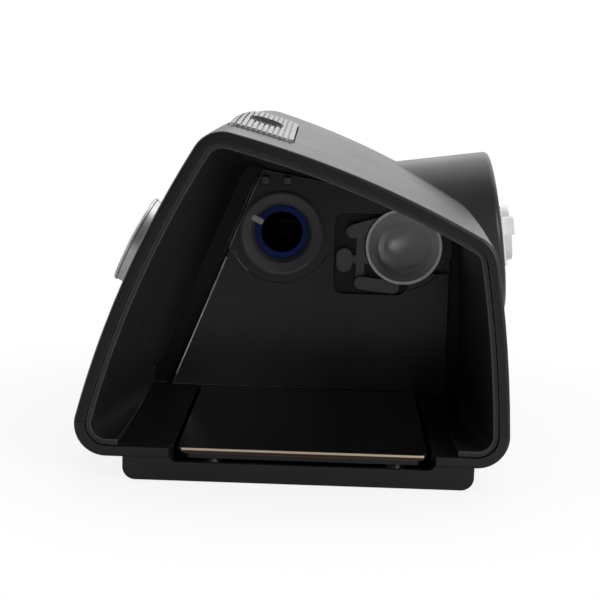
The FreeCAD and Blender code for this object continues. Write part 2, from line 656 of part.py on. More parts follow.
def stations(first, last, count=5):
    """Evenly spaced values from first to last."""
    return [first + (last - first) * i / (count - 1) for i in range(count)]


def near_end(x):
    """A test for edges that lie in the plane at x."""
    return lambda edge: abs(edge.BoundBox.XMin - x) < 1e-3 and abs(edge.BoundBox.XMax - x) < 1e-3


def housing_layer(first, last, inset=0.0, count=5):
    """The housing's form between two stations, moved in by the inset."""
    return Part.makeLoft([housing_section(x, inset) for x in stations(first, last, count)], True)


def housing_body():
    """The machine's full outer form, solid, rounded at its closed end and lightly at its rim."""
    form = housing_layer(-mm.half_width, mm.half_width)
    closed_end = [edge for edge in form.Edges if near_end(-mm.half_width)(edge)]
    form = form.makeFillet(mm.end_round, closed_end)
    return form.makeFillet(mm.rim_round, [edge for edge in form.Edges if near_end(mm.half_width)(edge)])


def housing_cavity():
    """The space inside the housing's wall, open through the thicker rim."""
    last = mm.half_width - mm.rim_depth
    inside = housing_layer(mm.wall - mm.half_width, last, mm.wall)
    mouth = Part.Face(housing_section(last - 1, mm.rim_wall, mm.half_width))
    return inside.fuse(mouth.extrude(Vector(mm.rim_depth + 2, 0, 0)))


def front_window(x0, x1, z0, z1, radius, grow=0.0):
    """A round-cornered block that cuts a window out of the front wall."""
    x0, x1, z0, z1, radius = x0 - grow, x1 + grow, z0 - grow, z1 + grow, radius + grow
    block = slab(Vector(x0, -BIG / 2, z0), Vector(x1, mm.top_front_y + mm.ridge_back, z1))
    return block.makeFillet(radius, [edge for edge in block.Edges if along(Y_AXIS)(edge)])


def surface_placement(touch, x, other):
    """A place on the outer form, with a local +Z out of it; touch finds the form's points."""
    step = mm.corner_round / 10
    spot = touch(x, other)
    across = touch(x + step, other) - touch(x - step, other)
    upward = touch(x, other + step) - touch(x, other - step)
    return Placement(spot, Rotation(across, upward, across.cross(upward), "ZXY"))


def front_point(x, z):
    """Where the front face is at a height."""
    probe = Part.makeLine(Vector(x, -BIG, z), Vector(x, 0, z))
    return housing_section(x).distToShape(probe)[1][0][0]


def top_point(x, y):
    """Where the top is at a depth."""
    probe = Part.makeLine(Vector(x, y, 0), Vector(x, y, BIG))
    edges = [edge for edge in housing_section(x).Edges if edge.BoundBox.ZMin > mm.seam_z * 2]
    return Part.Compound(edges).distToShape(probe)[1][0][0]


def front_placement(x, z):
    """A place on the front face."""
    return surface_placement(front_point, x, z)


def outlet_placement(distance=0.0):
    """A point on the rear outlet's axis, with a local +Z that points out along it."""
    tilt = math.radians(mm.outlet_tilt)
    start = Vector(mm.outlet_x, mm.elbow_port_y, mm.elbow_port_z - mm.flange_drop)
    way = Vector(0, math.cos(tilt), math.sin(tilt))
    return Placement(start + way * distance, Rotation(X_AXIS, mm.outlet_tilt - 90))


OUTER = housing_body()
CAVITY = housing_cavity()
SHELL = OUTER.cut(CAVITY)
FLOOR_Z = mm.skirt_z + mm.wall
ABOVE_SEAM = slab(Vector(-BIG / 2, -BIG / 2, mm.seam_z), Vector(BIG / 2, BIG / 2, BIG))
BELOW_SEAM = slab(Vector(-BIG / 2, -BIG / 2, -1), Vector(BIG / 2, BIG / 2, mm.seam_z - mm.seam_gap))
ABOVE_TRAY_FLOOR = slab(Vector(-BIG / 2, -BIG / 2, FLOOR_Z + mm.seam_gap), Vector(BIG / 2, BIG / 2, BIG))
PANEL_X = mm.port_wall_x + mm.panel_rise
PORT_PLATE_X = PANEL_X + mm.port_plate_rise
WALL_BACK_X = mm.port_wall_x - mm.port_wall_thick
PLATE_FRONT_X = mm.half_width - mm.plate_set_back
PLATE_REAR_X = PANEL_X + mm.plate_wall_gap
PLINTH_X = mm.half_width - mm.plinth_end_gap
PLINTH_Z = mm.foot_stand


def disc(radius, length, placement, start=0.0):
    """A solid cylinder in a local frame, from a start along its +Z."""
    shape = Part.makeCylinder(radius, length, Vector(0, 0, start))
    shape.Placement = placement
    return shape


def toward_bay(y, z, x=0.0):
    """A local frame on the bay's end wall, with +Z towards the bay's mouth."""
    return Placement(Vector(x, y, z), Rotation(Y_AXIS, 90))


BLOWER_PORT = toward_bay(mm.blower_port_y, mm.blower_port_z)
ELBOW_PORT = toward_bay(mm.elbow_port_y, mm.elbow_port_z)
DIAL_PLACE = front_placement(mm.dial_x, mm.dial_z)
HOME_PLACE = front_placement(mm.dial_x, mm.home_z)
SENSOR_PLACE = front_placement(mm.dial_x + mm.sensor_out, mm.fascia_high_z - mm.sensor_drop)
KEY_PLACE = surface_placement(top_point, KEY_X, mm.key_y)
BARREL_END = outlet_placement(mm.barrel_end)


# ---------------------------------------------------------------- housings
def rounded_corners(shape, axis, radius, test=None):
    """Fillet a shape's straight edges along an axis."""
    picked = [edge for edge in shape.Edges if along(axis)(edge) and (test is None or test(edge))]
    return shape.makeFillet(radius, picked)


def foot_centres():
    """The four feet, in plan."""
    x = PLINTH_X - mm.foot_inset_x
    front = mm.plinth_front_y + mm.foot_inset_y
    rear = mm.plinth_rear_y - mm.foot_inset_y
    return [Vector(sx * x, y, 0) for sx in (-1, 1) for y in (front, rear)]


def spring_centres():
    """The four springs and guide posts under the heater plate, in plan."""
    xs = (PLATE_REAR_X + mm.spring_inset, PLATE_FRONT_X - mm.spring_inset)
    ys = (mm.spring_inset - mm.plate_half, mm.plate_half - mm.spring_inset)
    return [Vector(x, y, 0) for x in xs for y in ys]


def base_tray():
    """Lower housing: plinth, bay floor with its heater well, lip notch and board bay."""
    plinth = slab(Vector(-PLINTH_X, mm.plinth_front_y, PLINTH_Z),
                  Vector(PLINTH_X, mm.plinth_rear_y, FLOOR_Z))
    plinth = rounded_corners(plinth, X_AXIS, mm.plinth_round, lambda edge: edge.BoundBox.ZMax < PLINTH_Z + 1e-3)
    tray = SHELL.common(BELOW_SEAM).fuse(plinth)
    well_half = mm.plate_half + mm.well_clear
    well = slab(Vector(PLATE_REAR_X - mm.well_clear, -well_half, mm.well_z),
                Vector(PLATE_FRONT_X + mm.well_clear, well_half, mm.seam_z))
    notch = slab(Vector(PLATE_FRONT_X - mm.spring_inset / 2, -mm.notch_half, mm.notch_z),
                 Vector(BIG / 2, mm.notch_half, mm.seam_z))
    notch = rounded_corners(notch, X_AXIS, mm.notch_round)
    board_bay = slab(Vector(mm.wall - PLINTH_X, mm.plinth_front_y + mm.plinth_round, mm.well_z),
                     Vector(WALL_BACK_X - mm.wall, mm.plinth_rear_y - mm.plinth_round, FLOOR_Z + 1))
    tray = tray.cut(well).cut(notch).cut(board_bay)
    for centre in foot_centres():
        seat = Part.makeCylinder(mm.foot_radius, mm.foot_seat, centre + Z_AXIS * PLINTH_Z)
        tray = tray.cut(seat)
    for centre in spring_centres():
        post_top = mm.plate_top_z - mm.plate_thick - mm.element_thick - mm.plate_travel - mm.post_clear
        height = post_top - mm.well_z
        tray = tray.fuse(Part.makeCylinder(mm.post_radius, height, centre + Z_AXIS * mm.well_z))
    for centre in board_posts():
        height = mm.main_board_z - mm.well_z
        tray = tray.fuse(Part.makeCylinder(2 * mm.screw_radius, height, centre + Z_AXIS * mm.well_z))
    return tray.removeSplitter()


def key_block(grow):
    """The button's outline as a round-cornered block through the top's wall."""
    half_x, half_y = mm.key_length / 2 + grow, mm.key_width / 2 + grow
    reach = mm.key_width / 2
    block = slab(Vector(-half_x, -half_y, -reach), Vector(half_x, half_y, reach))
    block = rounded_corners(block, Z_AXIS, mm.key_round + grow)
    block.Placement = KEY_PLACE
    return block


def key_layer(outer, inner, grow=0.0):
    """A layer of the top between two depths, inside the button's outline."""
    half = mm.key_length / 2 + grow + mm.wall
    above, below = [housing_layer(KEY_X - half, KEY_X + half, inset) for inset in (outer, inner)]
    return above.cut(below).common(key_block(grow))


def rear_cover_block(x, z, width, height, grow, depth):
    """A round-cornered block let into the rear wall."""
    half_x, half_z = width / 2 + grow, height / 2 + grow
    block = slab(Vector(x - half_x, rear_y(z) - depth, z - half_z), Vector(x + half_x, BIG / 2, z + half_z))
    return rounded_corners(block, Y_AXIS, mm.rear_cover_round + grow)


def rear_y(z):
    """The rear wall's outer face at a height, away from the corners."""
    section = housing_section(0)
    probe = Part.makeLine(Vector(0, 0, z), Vector(0, BIG, z))
    return section.distToShape(probe)[1][0][0].y


def side_block(y, z, width, height, grow, depth):
    """A round-cornered block let into the closed end wall."""
    half_y, half_z = width / 2 + grow, height / 2 + grow
    block = slab(Vector(-BIG / 2, y - half_y, z - half_z), Vector(depth - mm.half_width, y + half_y, z + half_z))
    return rounded_corners(block, X_AXIS, mm.side_cover_round + grow)


def fascia_window(grow=0.0):
    """The front panel's outline as a block."""
    half = mm.half_width - mm.fascia_end_gap
    return front_window(-half, half, mm.fascia_low_z, mm.fascia_high_z, mm.fascia_round, grow)


def screen_window(grow=0.0):
    """The screen's outline as a block."""
    return front_window(SCREEN_LEFT, SCREEN_LEFT + mm.screen_width, SCREEN_LOW, SCREEN_HIGH, mm.screen_round, grow)


def upper_housing():
    """Crowned top and walls, with openings for what sits in them."""
    shell = SHELL.common(ABOVE_SEAM)
    tools = [
        fascia_window(mm.seam_gap),
        key_block(mm.key_gap),
        disc(mm.barrel_radius + mm.seam_gap, BIG / 4, outlet_placement(-mm.barrel_root)),
        rear_cover_block(FILTER_X, mm.filter_z, mm.filter_width, mm.filter_height, mm.cover_gap, BIG / 10),
        side_block(mm.sd_y, mm.sd_z, mm.sd_width, mm.sd_height, mm.cover_gap, BIG / 20),
        side_block(mm.adapter_y, mm.adapter_z, mm.adapter_width, mm.adapter_height, mm.seam_gap * 2, BIG / 20),
        inlet_hole(),
    ]
    for tool in tools:
        shell = shell.cut(tool)
    shell = max(shell.Solids, key=lambda solid: solid.Volume)
    return shell.fuse(clip_lugs()).removeSplitter()


def clip_axis():
    """Middle of the retention clip's axis, behind the rear wall."""
    z = mm.inlet_z + mm.clip_above
    return Vector(INLET_X, rear_y(z) + mm.clip_pin_out, z)


def clip_lugs():
    """Two lugs on the rear wall that hold the retention clip's pin."""
    axis = clip_axis()
    lugs = []
    for sign in (-1, 1):
        inner = mm.clip_half + mm.clip_thick / 2 + mm.seam_gap
        start = axis + X_AXIS * (sign * inner if sign > 0 else -mm.clip_half - mm.clip_lug)
        width = mm.clip_half + mm.clip_lug - inner
        lug = Part.makeCylinder(mm.clip_eye, width, start, X_AXIS)
        web = slab(Vector(start.x, axis.y - mm.clip_pin_out - mm.wall / 2, axis.z - mm.clip_eye),
                   Vector(start.x + width, axis.y, axis.z + mm.clip_eye))
        hole = Part.makeCylinder(mm.clip_pin_radius, width, start, X_AXIS)
        lugs.append(lug.fuse(web).cut(hole))
    return lugs


def inlet_hole():
    """The round opening for the power inlet in the rear wall."""
    place_at = Placement(Vector(INLET_X, 0, mm.inlet_z), Rotation(X_AXIS, -90))
    return disc(mm.inlet_nose + mm.seam_gap, BIG / 2, place_at)


def fascia():
    """Front panel: a curved piece of the front wall with windows for its controls."""
    panel = SHELL.common(fascia_window()).cut(screen_window(mm.seam_gap))
    dish = disc(mm.dial_radius + mm.dial_margin, mm.wall, DIAL_PLACE, -mm.dial_recess)
    shaft_hole = disc(mm.shaft_radius + mm.hole_clear, 4 * mm.wall, DIAL_PLACE, -2 * mm.wall)
    home_hole = disc(mm.home_radius + mm.hole_clear / 2, 4 * mm.wall, HOME_PLACE, -2 * mm.wall)
    sensor_hole = disc(mm.sensor_radius + mm.seam_gap / 4, BIG / 10, SENSOR_PLACE, -BIG / 20)
    return panel.cut(dish).cut(shaft_hole).cut(home_hole).cut(sensor_hole)


def board_posts():
    """Bosses that carry the main board, in plan."""
    xs = (value(BOARD_LEFT) + mm.board_hole_inset, value(BOARD_RIGHT) - mm.board_hole_inset)
    ys = (value(BOARD_FRONT) + mm.board_hole_inset, value(BOARD_REAR) - mm.board_hole_inset)
    return [Vector(x, y, 0) for x in xs for y in ys]


def bay_liner():
    """Tapered inner walls and ceiling of the tub bay."""
    near_x = mm.half_width - mm.liner_set_back
    near_out = housing_section(near_x, mm.rim_wall + mm.seam_gap, mm.half_width)
    near_in = housing_section(near_x, mm.rim_wall + mm.seam_gap + mm.liner_wall, mm.half_width)
    outer = Part.makeLoft([bay_section(-mm.liner_wall), near_out], True)
    inner = Part.makeLoft([bay_section(), near_in], True)
    liner = outer.cut(inner).common(ABOVE_TRAY_FLOOR).common(CAVITY)
    open_foot = slab(Vector(-BIG, mm.low_front_y + mm.liner_toe, 0),
                     Vector(BIG, mm.low_rear_y - mm.liner_toe, mm.seam_z))
    return liner.cut(open_foot)


def bevelled(block, x):
    """A block with a light bevel along its edges in the plane at x."""
    return block.makeChamfer(mm.wall_bevel, [edge for edge in block.Edges if near_end(x)(edge)])


def port_wall():
    """End wall of the bay: channel, raised panel, port plate and its openings."""
    base = Part.Face(bay_section(-mm.liner_wall)).extrude(X_AXIS * -mm.port_wall_thick)
    base = base.common(ABOVE_TRAY_FLOOR).common(CAVITY)
    inside = Part.Face(bay_section(mm.seam_gap)).extrude(X_AXIS * BIG / 20)
    top = bay_top()
    lean = (top.y - mm.bay_low_front_y) / (top.z - mm.skirt_z)
    shift = mm.margin_width * math.hypot(1, lean)
    rear_y0 = mm.bay_low_rear_y - mm.rear_margin
    panel_points = [(mm.bay_low_front_y + shift, mm.skirt_z), (top.y + shift, top.z), (rear_y0, top.z),
                    (rear_y0, mm.skirt_z)]
    panel = bevelled(prism_x(panel_points, mm.port_wall_x, PANEL_X), PANEL_X)
    plate_points = [(mm.plate_front_y, mm.plate_front_z), (mm.plate_step_y, mm.plate_step_z),
                    (mm.plate_low_y, mm.plate_low_z), (mm.low_rear_y, mm.plate_low_z),
                    (mm.low_rear_y, mm.top_front_z), (mm.plate_front_y, mm.top_front_z)]
    plate = prism_x(plate_points, PANEL_X, PORT_PLATE_X)
    for radius, place_at in ((mm.port_boss_radius, BLOWER_PORT), (mm.flange_radius + mm.flange_boss, ELBOW_PORT)):
        plate = plate.fuse(disc(radius, mm.port_plate_rise, place_at, PANEL_X))
    plate = bevelled(plate.removeSplitter(), PORT_PLATE_X)
    plate = plate.common(prism_x(panel_points, PANEL_X, PORT_PLATE_X))
    raised = panel.fuse(plate).common(inside).common(ABOVE_TRAY_FLOOR)
    wall = base.fuse(raised).removeSplitter()
    skin_x = mm.port_wall_x + mm.latch_skin
    latch_recess = slab(Vector(skin_x, mm.latch_room_y, mm.latch_room_low),
                        Vector(BIG, mm.elbow_port_y + mm.slot_wide, mm.latch_room_high))
    wall = wall.cut(rounded_corners(latch_recess, X_AXIS, mm.latch_room_round))
    wall = wall.cut(slab(Vector(skin_x, mm.elbow_port_y + mm.slot_out, mm.slot_low_z),
                         Vector(BIG, BIG, mm.slot_low_z + mm.slot_wide)))
    wall = wall.cut(disc(mm.seal_outer + mm.ring_seat + mm.ring_fit, BIG, BLOWER_PORT, -BIG / 2))
    wall = wall.cut(disc(mm.flange_radius + mm.seam_gap, BIG, ELBOW_PORT, mm.port_wall_x + mm.seam_gap))
    neck = toward_bay(mm.elbow_port_y, mm.elbow_port_z - mm.flange_drop)
    return wall.cut(disc(mm.elbow_mouth + mm.elbow_wall + mm.seam_gap, BIG, neck, -BIG / 2))


def prism_x(points, x0, x1):
    """A block with the given YZ outline between two stations."""
    corners = [Vector(x0, y, z) for y, z in points]
    return Part.Face(Part.makePolygon(corners + corners[:1])).extrude(X_AXIS * (x1 - x0))


def outlet_shroud():
    """Barrel round the hose connector, with the well that the hose cuff enters."""
    reach = mm.barrel_end + mm.barrel_root
    tube = disc(mm.barrel_radius, reach, outlet_placement(-mm.barrel_root))
    end_edges = [edge for edge in tube.Edges if (edge.CenterOfMass - BARREL_END.Base).Length < 1e-3]
    tube = tube.makeFillet(mm.barrel_edge, end_edges)
    tube = tube.cut(disc(mm.barrel_radius - mm.wall, reach - mm.wall, outlet_placement(-mm.barrel_root)))
    tube = tube.cut(CAVITY)
    cup = disc(mm.cuff_radius + mm.liner_wall, mm.cuff_depth, BARREL_END, -mm.cuff_depth)
    cup = cup.cut(disc(mm.cuff_radius, mm.cuff_depth, BARREL_END, mm.liner_wall - mm.cuff_depth))
    opening = disc(mm.cuff_radius, BIG / 10, BARREL_END, mm.liner_wall - mm.cuff_depth)
    neck = disc(mm.elbow_bore + mm.elbow_wall + mm.hole_clear, BIG / 10, BARREL_END, -BIG / 10)
    shape = tube.fuse(cup).cut(opening).cut(neck)
    shape = max(shape.Solids, key=lambda solid: solid.Volume)
    return shape.removeSplitter()


solid_node("base_tray", base_tray())
solid_node("upper_housing", upper_housing())
solid_node("front_fascia", fascia())
solid_node("bay_liner", bay_liner())
solid_node("port_wall", port_wall())
solid_node("outlet_shroud", outlet_shroud())


# ---------------------------------------------------------------- turned and boxed parts
def turned(label, points, placement, listed=True):
    """A turned body: an outline of (radius, height) pairs round a local +Z."""
    owner = body(label, listed)
    drawing = sketch(owner, "XZ_Plane", label + "_outline")
    polygon(drawing, points)
    revolve(owner, label + "_turn", drawing)
    owner.Placement = placement
    return owner


# ---------------------------------------------------------------- ports in the bay
PANEL = "port_wall_x + panel_rise"
RING_BACK = "port_wall_x - port_wall_thick"
RING_FACE = f"{PANEL} + port_plate_rise + port_ring_rise"
SEAL_FACE = f"{PANEL} - seal_sink"
turned("blower_port_ring", [
    ("port_ring_radius", f"{PANEL} + port_plate_rise"),
    ("port_ring_radius", f"{RING_FACE} - port_ring_edge"),
    ("port_ring_radius - port_ring_edge", RING_FACE),
    ("port_ring_lip", f"{PANEL} + port_plate_rise"),
    ("seal_outer + ring_fit", SEAL_FACE),
    ("seal_outer + ring_fit", f"{SEAL_FACE} - seal_length"),
    ("duct_radius", f"{SEAL_FACE} - seal_length"),
    ("duct_radius", f"{RING_BACK} - duct_tail"),
    ("duct_radius + duct_wall", f"{RING_BACK} - duct_tail"),
    ("duct_radius + duct_wall", RING_BACK),
    ("seal_outer + ring_seat", RING_BACK),
    ("seal_outer + ring_seat", f"{PANEL} + port_plate_rise"),
], BLOWER_PORT)
turned("blower_port_seal", [
    ("seal_inner", SEAL_FACE),
    ("seal_inner", f"{SEAL_FACE} - seal_length"),
    ("seal_outer", f"{SEAL_FACE} - seal_length"),
    ("seal_outer", SEAL_FACE),
], BLOWER_PORT)


def port_key():
    """Small tab across the port ring, from its bevel to the airway."""
    half = mm.tab_width / 2
    low = Vector(-half, mm.seal_inner + mm.ring_fit, PANEL_X - mm.seal_sink + mm.seal_fit)
    high = Vector(half, mm.port_ring_lip + mm.tab_lap, PORT_PLATE_X + mm.tab_rise)
    tab = rounded_corners(slab(low, high), Z_AXIS, mm.tab_round)
    tab.Placement = BLOWER_PORT * Placement(Vector(), Rotation(Z_AXIS, mm.key_tab_turn))
    doc.recompute()
    return tab.cut(doc.getObject("blower_port_ring").Shape)


solid_node("port_key", port_key())


def elbow_path():
    """Centre line of the elbow: out of the bay, round the bend and up the outlet."""
    start_x = PANEL_X - mm.elbow_mouth_length - mm.elbow_lead
    start = Vector(start_x, mm.elbow_port_y, mm.elbow_port_z - mm.flange_drop)
    corner = outlet_placement().Base
    out = outlet_placement().Rotation.multVec(Z_AXIS)
    turn_in = corner + X_AXIS * mm.outlet_bend
    turn_out = corner + out * mm.outlet_bend
    middle_way = (X_AXIS + out).normalize()
    centre = corner + (X_AXIS + out) * mm.outlet_bend
    middle = centre - middle_way * mm.outlet_bend
    end = BARREL_END.multVec(Vector(0, 0, mm.stub_length - mm.cuff_depth))
    edges = [Part.LineSegment(start, turn_in), Part.Arc(turn_in, middle, turn_out), Part.LineSegment(turn_out, end)]
    return Part.Wire([edge.toShape() for edge in edges])


def swept_disc(radius, path, start, way):
    """A round bar along a path."""
    profile = Part.Wire(Part.makeCircle(radius, start, way))
    return path.makePipeShell([profile], True, True)


def outlet_elbow():
    """Translucent elbow: funnel flange in the bay, bend, collar and hose connector."""
    path = elbow_path()
    start = path.Vertexes[0].Point
    outside = swept_disc(mm.elbow_bore + mm.elbow_wall, path, start, X_AXIS)
    bore = swept_disc(mm.elbow_bore, path, start, X_AXIS)
    flange_x = PANEL_X + mm.flange_rise
    top = Vector(flange_x, mm.elbow_port_y, mm.elbow_port_z)
    low = top - Z_AXIS * mm.flange_drop
    throat_x = PANEL_X - mm.throat_sink
    edge_x = flange_x - mm.flange_edge
    socket_x = PANEL_X - mm.elbow_mouth_length

    def circle(radius, at, x):
        return Part.Wire(Part.makeCircle(radius, Vector(x, at.y, at.z), X_AXIS))

    lip = mm.flange_radius - mm.flange_lip
    funnel = Part.makeLoft([circle(mm.elbow_bore + mm.elbow_wall, low, start.x),
                            circle(mm.elbow_mouth + mm.elbow_wall, low, throat_x)], True)
    rim = Part.makeLoft([circle(mm.elbow_mouth + mm.elbow_wall, low, throat_x),
                         circle(mm.flange_radius, top, edge_x)], True)
    edge = Part.makeCylinder(mm.flange_radius, mm.flange_edge, Vector(edge_x, top.y, top.z), X_AXIS)
    cone = Part.makeLoft([circle(mm.elbow_mouth, low, PANEL_X), circle(lip, top, flange_x)], True)
    socket = Part.makeLoft([circle(mm.elbow_bore, low, start.x), circle(mm.elbow_mouth, low, socket_x)], True)
    straight = Part.makeCylinder(mm.elbow_mouth, mm.elbow_mouth_length, Vector(socket_x, low.y, low.z), X_AXIS)
    stub = disc(mm.stub_radius, mm.stub_length, BARREL_END, -mm.cuff_depth)
    collar = disc(mm.collar_radius, mm.collar_thick, BARREL_END, mm.liner_wall - mm.cuff_depth)
    outside = outside.fuse([funnel, rim, edge, stub, collar])
    return outside.cut(Part.makeCompound([bore, cone, socket, straight])).removeSplitter()


solid_node("outlet_elbow", outlet_elbow())
SEAL_ROOT = "elbow_bore + elbow_wall + seal_fit"
turned("elbow_seal", [
    (SEAL_ROOT, "0"), (f"{SEAL_ROOT} + elbow_seal_thick", "0"),
    (f"{SEAL_ROOT} + elbow_seal_thick", "elbow_seal_length"), (SEAL_ROOT, "elbow_seal_length"),
], outlet_placement(mm.barrel_end - mm.cuff_depth - mm.elbow_seal_length - mm.elbow_seal_gap))


def finger(start, end, radius, low_x, high_x):
    """A flat finger with round ends between two points, told from the elbow port's centre."""
    low, high = [Vector(low_x, mm.elbow_port_y + y, mm.elbow_port_z + z) for y, z in (start, end)]
    side = (high - low).cross(X_AXIS).normalize() * radius
    corners = [low + side, high + side, high - side, low - side]
    bar = Part.Face(Part.makePolygon(corners + corners[:1])).extrude(X_AXIS * (high_x - low_x))
    for point in (low, high):
        bar = bar.fuse(Part.makeCylinder(radius, high_x - low_x, point, X_AXIS))
    return bar


def elbow_latch():
    """Clip beside the elbow: a back bar with two long fingers and a short thumb pad."""
    low_x = mm.port_wall_x + mm.latch_skin + mm.seal_fit
    finger_x, thumb_x, bar_x = PORT_PLATE_X + mm.finger_proud, PORT_PLATE_X + mm.thumb_proud, low_x + mm.bar_thick
    reach = mm.flange_radius
    hole = disc(reach + mm.latch_clear, BIG, ELBOW_PORT, -BIG / 2)
    upper = finger((-1.33 * reach, 0.35 * reach), (-0.54 * reach, 0.60 * reach), mm.finger_radius, low_x, finger_x)
    lower = finger((-1.09 * reach, -1.01 * reach), (-0.25 * reach, -1.10 * reach), mm.finger_low_radius, low_x,
                   finger_x)
    thumb = finger((-1.55 * reach, -0.53 * reach), (-1.55 * reach, -0.30 * reach), mm.thumb_radius, low_x, thumb_x)
    back = finger((-1.55 * reach, -0.41 * reach), (-0.90 * reach, -0.41 * reach), mm.bar_radius, low_x, bar_x)
    spine = finger((-1.12 * reach, -0.91 * reach), (-1.12 * reach, 0.31 * reach), mm.bar_radius, low_x, bar_x)
    return upper.fuse([lower, thumb, back, spine]).cut(hole).removeSplitter()


solid_node("elbow_latch", elbow_latch())


def tub_catches():
    """Two small sprung catches on the port plate, under the bay's ceiling."""
    catches = []
    for side in (-0.5, 0.5):
        y = mm.catch_y + side * mm.catch_pitch
        low = Vector(PORT_PLATE_X, y - mm.catch_width / 2, mm.catch_z)
        hook = slab(low, low + Vector(mm.catch_out, mm.catch_width, mm.catch_height))
        catches.append(rounded_corners(hook, Y_AXIS, mm.catch_round))
    return Part.makeCompound(catches)


solid_node("tub_catches", tub_catches())

# ---------------------------------------------------------------- heater
HEATER_ORIGIN = ("port_wall_x + panel_rise + plate_wall_gap", "-plate_half")
HEATER_LENGTH = "half_width - plate_set_back - port_wall_x - panel_rise - plate_wall_gap"


def heater_layer(label, edge, low, thick, holes):
    """A flat layer of the heater with rounded corners and holes for the guide posts."""
    owner = body(label)
    drawing = sketch(owner, "XY_Plane", label + "_outline", low)
    x0 = f"{HEATER_ORIGIN[0]} + {edge}"
    x1 = f"half_width - plate_set_back - {edge}"
    rectangle(drawing, x0, x1, f"{edge} - plate_half", f"plate_half - {edge}")
    pad(owner, label + "_pad", drawing, thick)
    if holes:
        posts = sketch(owner, "XY_Plane", label + "_posts", f"{low} + {thick}")
        for x in (f"{HEATER_ORIGIN[0]} + spring_inset", "half_width - plate_set_back - spring_inset"):
            for y in ("spring_inset - plate_half", "plate_half - spring_inset"):
                ring(posts, x, y, "post_radius + post_clear")
        pocket(owner, label + "_holes", posts, thick)
    round_edges(owner, label + "_corners", "plate_round", along(Z_AXIS))
    return owner


heater_layer("heater_plate", "0", "plate_top_z - plate_thick", "plate_thick", False)
heater_layer("heater_element", "carrier_edge / 2", "plate_top_z - plate_thick - element_thick",
             "element_thick", False)
heater_layer("heater_carrier", "carrier_edge",
             "plate_top_z - plate_thick - element_thick - carrier_thick", "carrier_thick", True)


def heater_springs():
    """Four square-wire springs round the guide posts."""
    low = mm.well_z + mm.spring_wire / 2
    high = mm.plate_top_z - mm.plate_thick - mm.element_thick - mm.carrier_thick - mm.spring_wire / 2
    springs = []
    for centre in spring_centres():
        helix = Part.makeHelix((high - low) / 2, high - low, mm.spring_radius)
        side = mm.spring_wire / 2
        start = Vector(mm.spring_radius, 0, 0)
        corners = [start + Vector(x, 0, z) for x, z in ((-side, -side), (side, -side), (side, side), (-side, side))]
        profile = Part.makePolygon(corners + corners[:1])
        spring = Part.Wire(helix.Edges).makePipeShell([profile], True, True)
        spring.translate(centre + Z_AXIS * low)
        springs.append(spring)
    return Part.makeCompound(springs)


solid_node("heater_springs", heater_springs())

# ---------------------------------------------------------------- front controls
BOTTOM = "dial_lift - dial_recess"
TOP = "dial_lift - dial_recess + dial_height"
BOARD_LEVEL = "-(wall + dial_recess + board_room + encoder_height)"
SHAFT_LOW = f"{BOARD_LEVEL} + shaft_floor + dial_travel + hole_clear"
BAND_LOW = f"{BOTTOM} + groove_width + band_land"
turned("dial_plunger", [
    ("0", SHAFT_LOW), ("shaft_radius", SHAFT_LOW),
    ("shaft_radius", f"{TOP} - shaft_seat"), ("0", f"{TOP} - shaft_seat"),
], DIAL_PLACE)
turned("dial_ring", [
    ("dial_radius - dial_skirt", BOTTOM),
    ("dial_radius - groove_depth", BOTTOM),
    ("dial_radius - groove_depth", f"{BOTTOM} + groove_width"),
    ("dial_radius - band_depth", f"{BOTTOM} + groove_width"),
    ("dial_radius", f"{BOTTOM} + groove_width + band_depth"),
    ("dial_radius", BAND_LOW),
    ("dial_radius - band_depth", f"{BAND_LOW} + band_depth"),
    ("dial_radius - band_depth", f"{TOP} - ring_bevel - band_land"),
    ("dial_radius", f"{TOP} - ring_bevel - band_land + band_depth"),
    ("dial_radius", f"{TOP} - ring_bevel"),
    ("dial_radius - ring_bevel / 3", f"{TOP} - ring_bevel / 3"),
    ("dial_radius - ring_bevel", TOP),
    ("dial_radius - ring_width", TOP),
    ("dial_radius - ring_width", f"{TOP} - ring_bevel - band_depth"),
    ("dial_radius - dial_skirt", f"{TOP} - ring_bevel - band_depth"),
], DIAL_PLACE)


def dial_knob():
    """Dark knob inside the bright ring, with a domed face and a blind bore for the shaft."""
    core = turned("dial_core", [
        ("shaft_radius + shaft_clear", BOTTOM),
        ("dial_radius - dial_skirt", BOTTOM),
        ("dial_radius - dial_skirt", f"{TOP} - ring_bevel - band_depth"),
        ("dial_radius - ring_width", f"{TOP} - ring_bevel - band_depth"),
        ("dial_radius - ring_width", f"{TOP} + dial_dome"),
        ("0", f"{TOP} + dial_dome"),
        ("0", f"{TOP} - shaft_seat"),
        ("shaft_radius + shaft_clear", f"{TOP} - shaft_seat"),
    ], DIAL_PLACE, False)
    doc.recompute()
    face = mm.dial_radius - mm.ring_width
    dome = (face ** 2 + mm.dial_dome ** 2) / (2 * mm.dial_dome)
    ball = Part.makeSphere(dome)
    ball.Placement = DIAL_PLACE * Placement(Vector(0, 0, value(TOP) + mm.dial_dome - dome), Rotation())
    return core.Shape.common(ball)


solid_node("dial_knob", dial_knob())
turned("home_button", [
    ("0", "-home_sink"), ("switch_stem + seam_gap", "-home_sink"),
    ("switch_stem + seam_gap", "-home_sink + seam_gap * 2"),
    ("home_radius + home_flange", "-home_sink + seam_gap * 2"),
    ("home_radius + home_flange", "-home_sink + home_flange"), ("home_radius - seam_gap", "-home_sink + home_flange"),
    ("home_radius - seam_gap", "home_rise - hole_clear"), ("home_radius - home_rise", "home_rise"),
    ("home_radius - 2 * home_rise", "home_rise"), ("0", "home_rise / 2"),
], HOME_PLACE)


def local_block(low, high, placement):
    """A block between two corners of a local frame."""
    shape = slab(Vector(*low), Vector(*high))
    shape.Placement = placement
    return shape


BOARD_PLACE = front_placement(mm.board_x, mm.dial_z)
BOARD_TOP = value(BOARD_LEVEL)


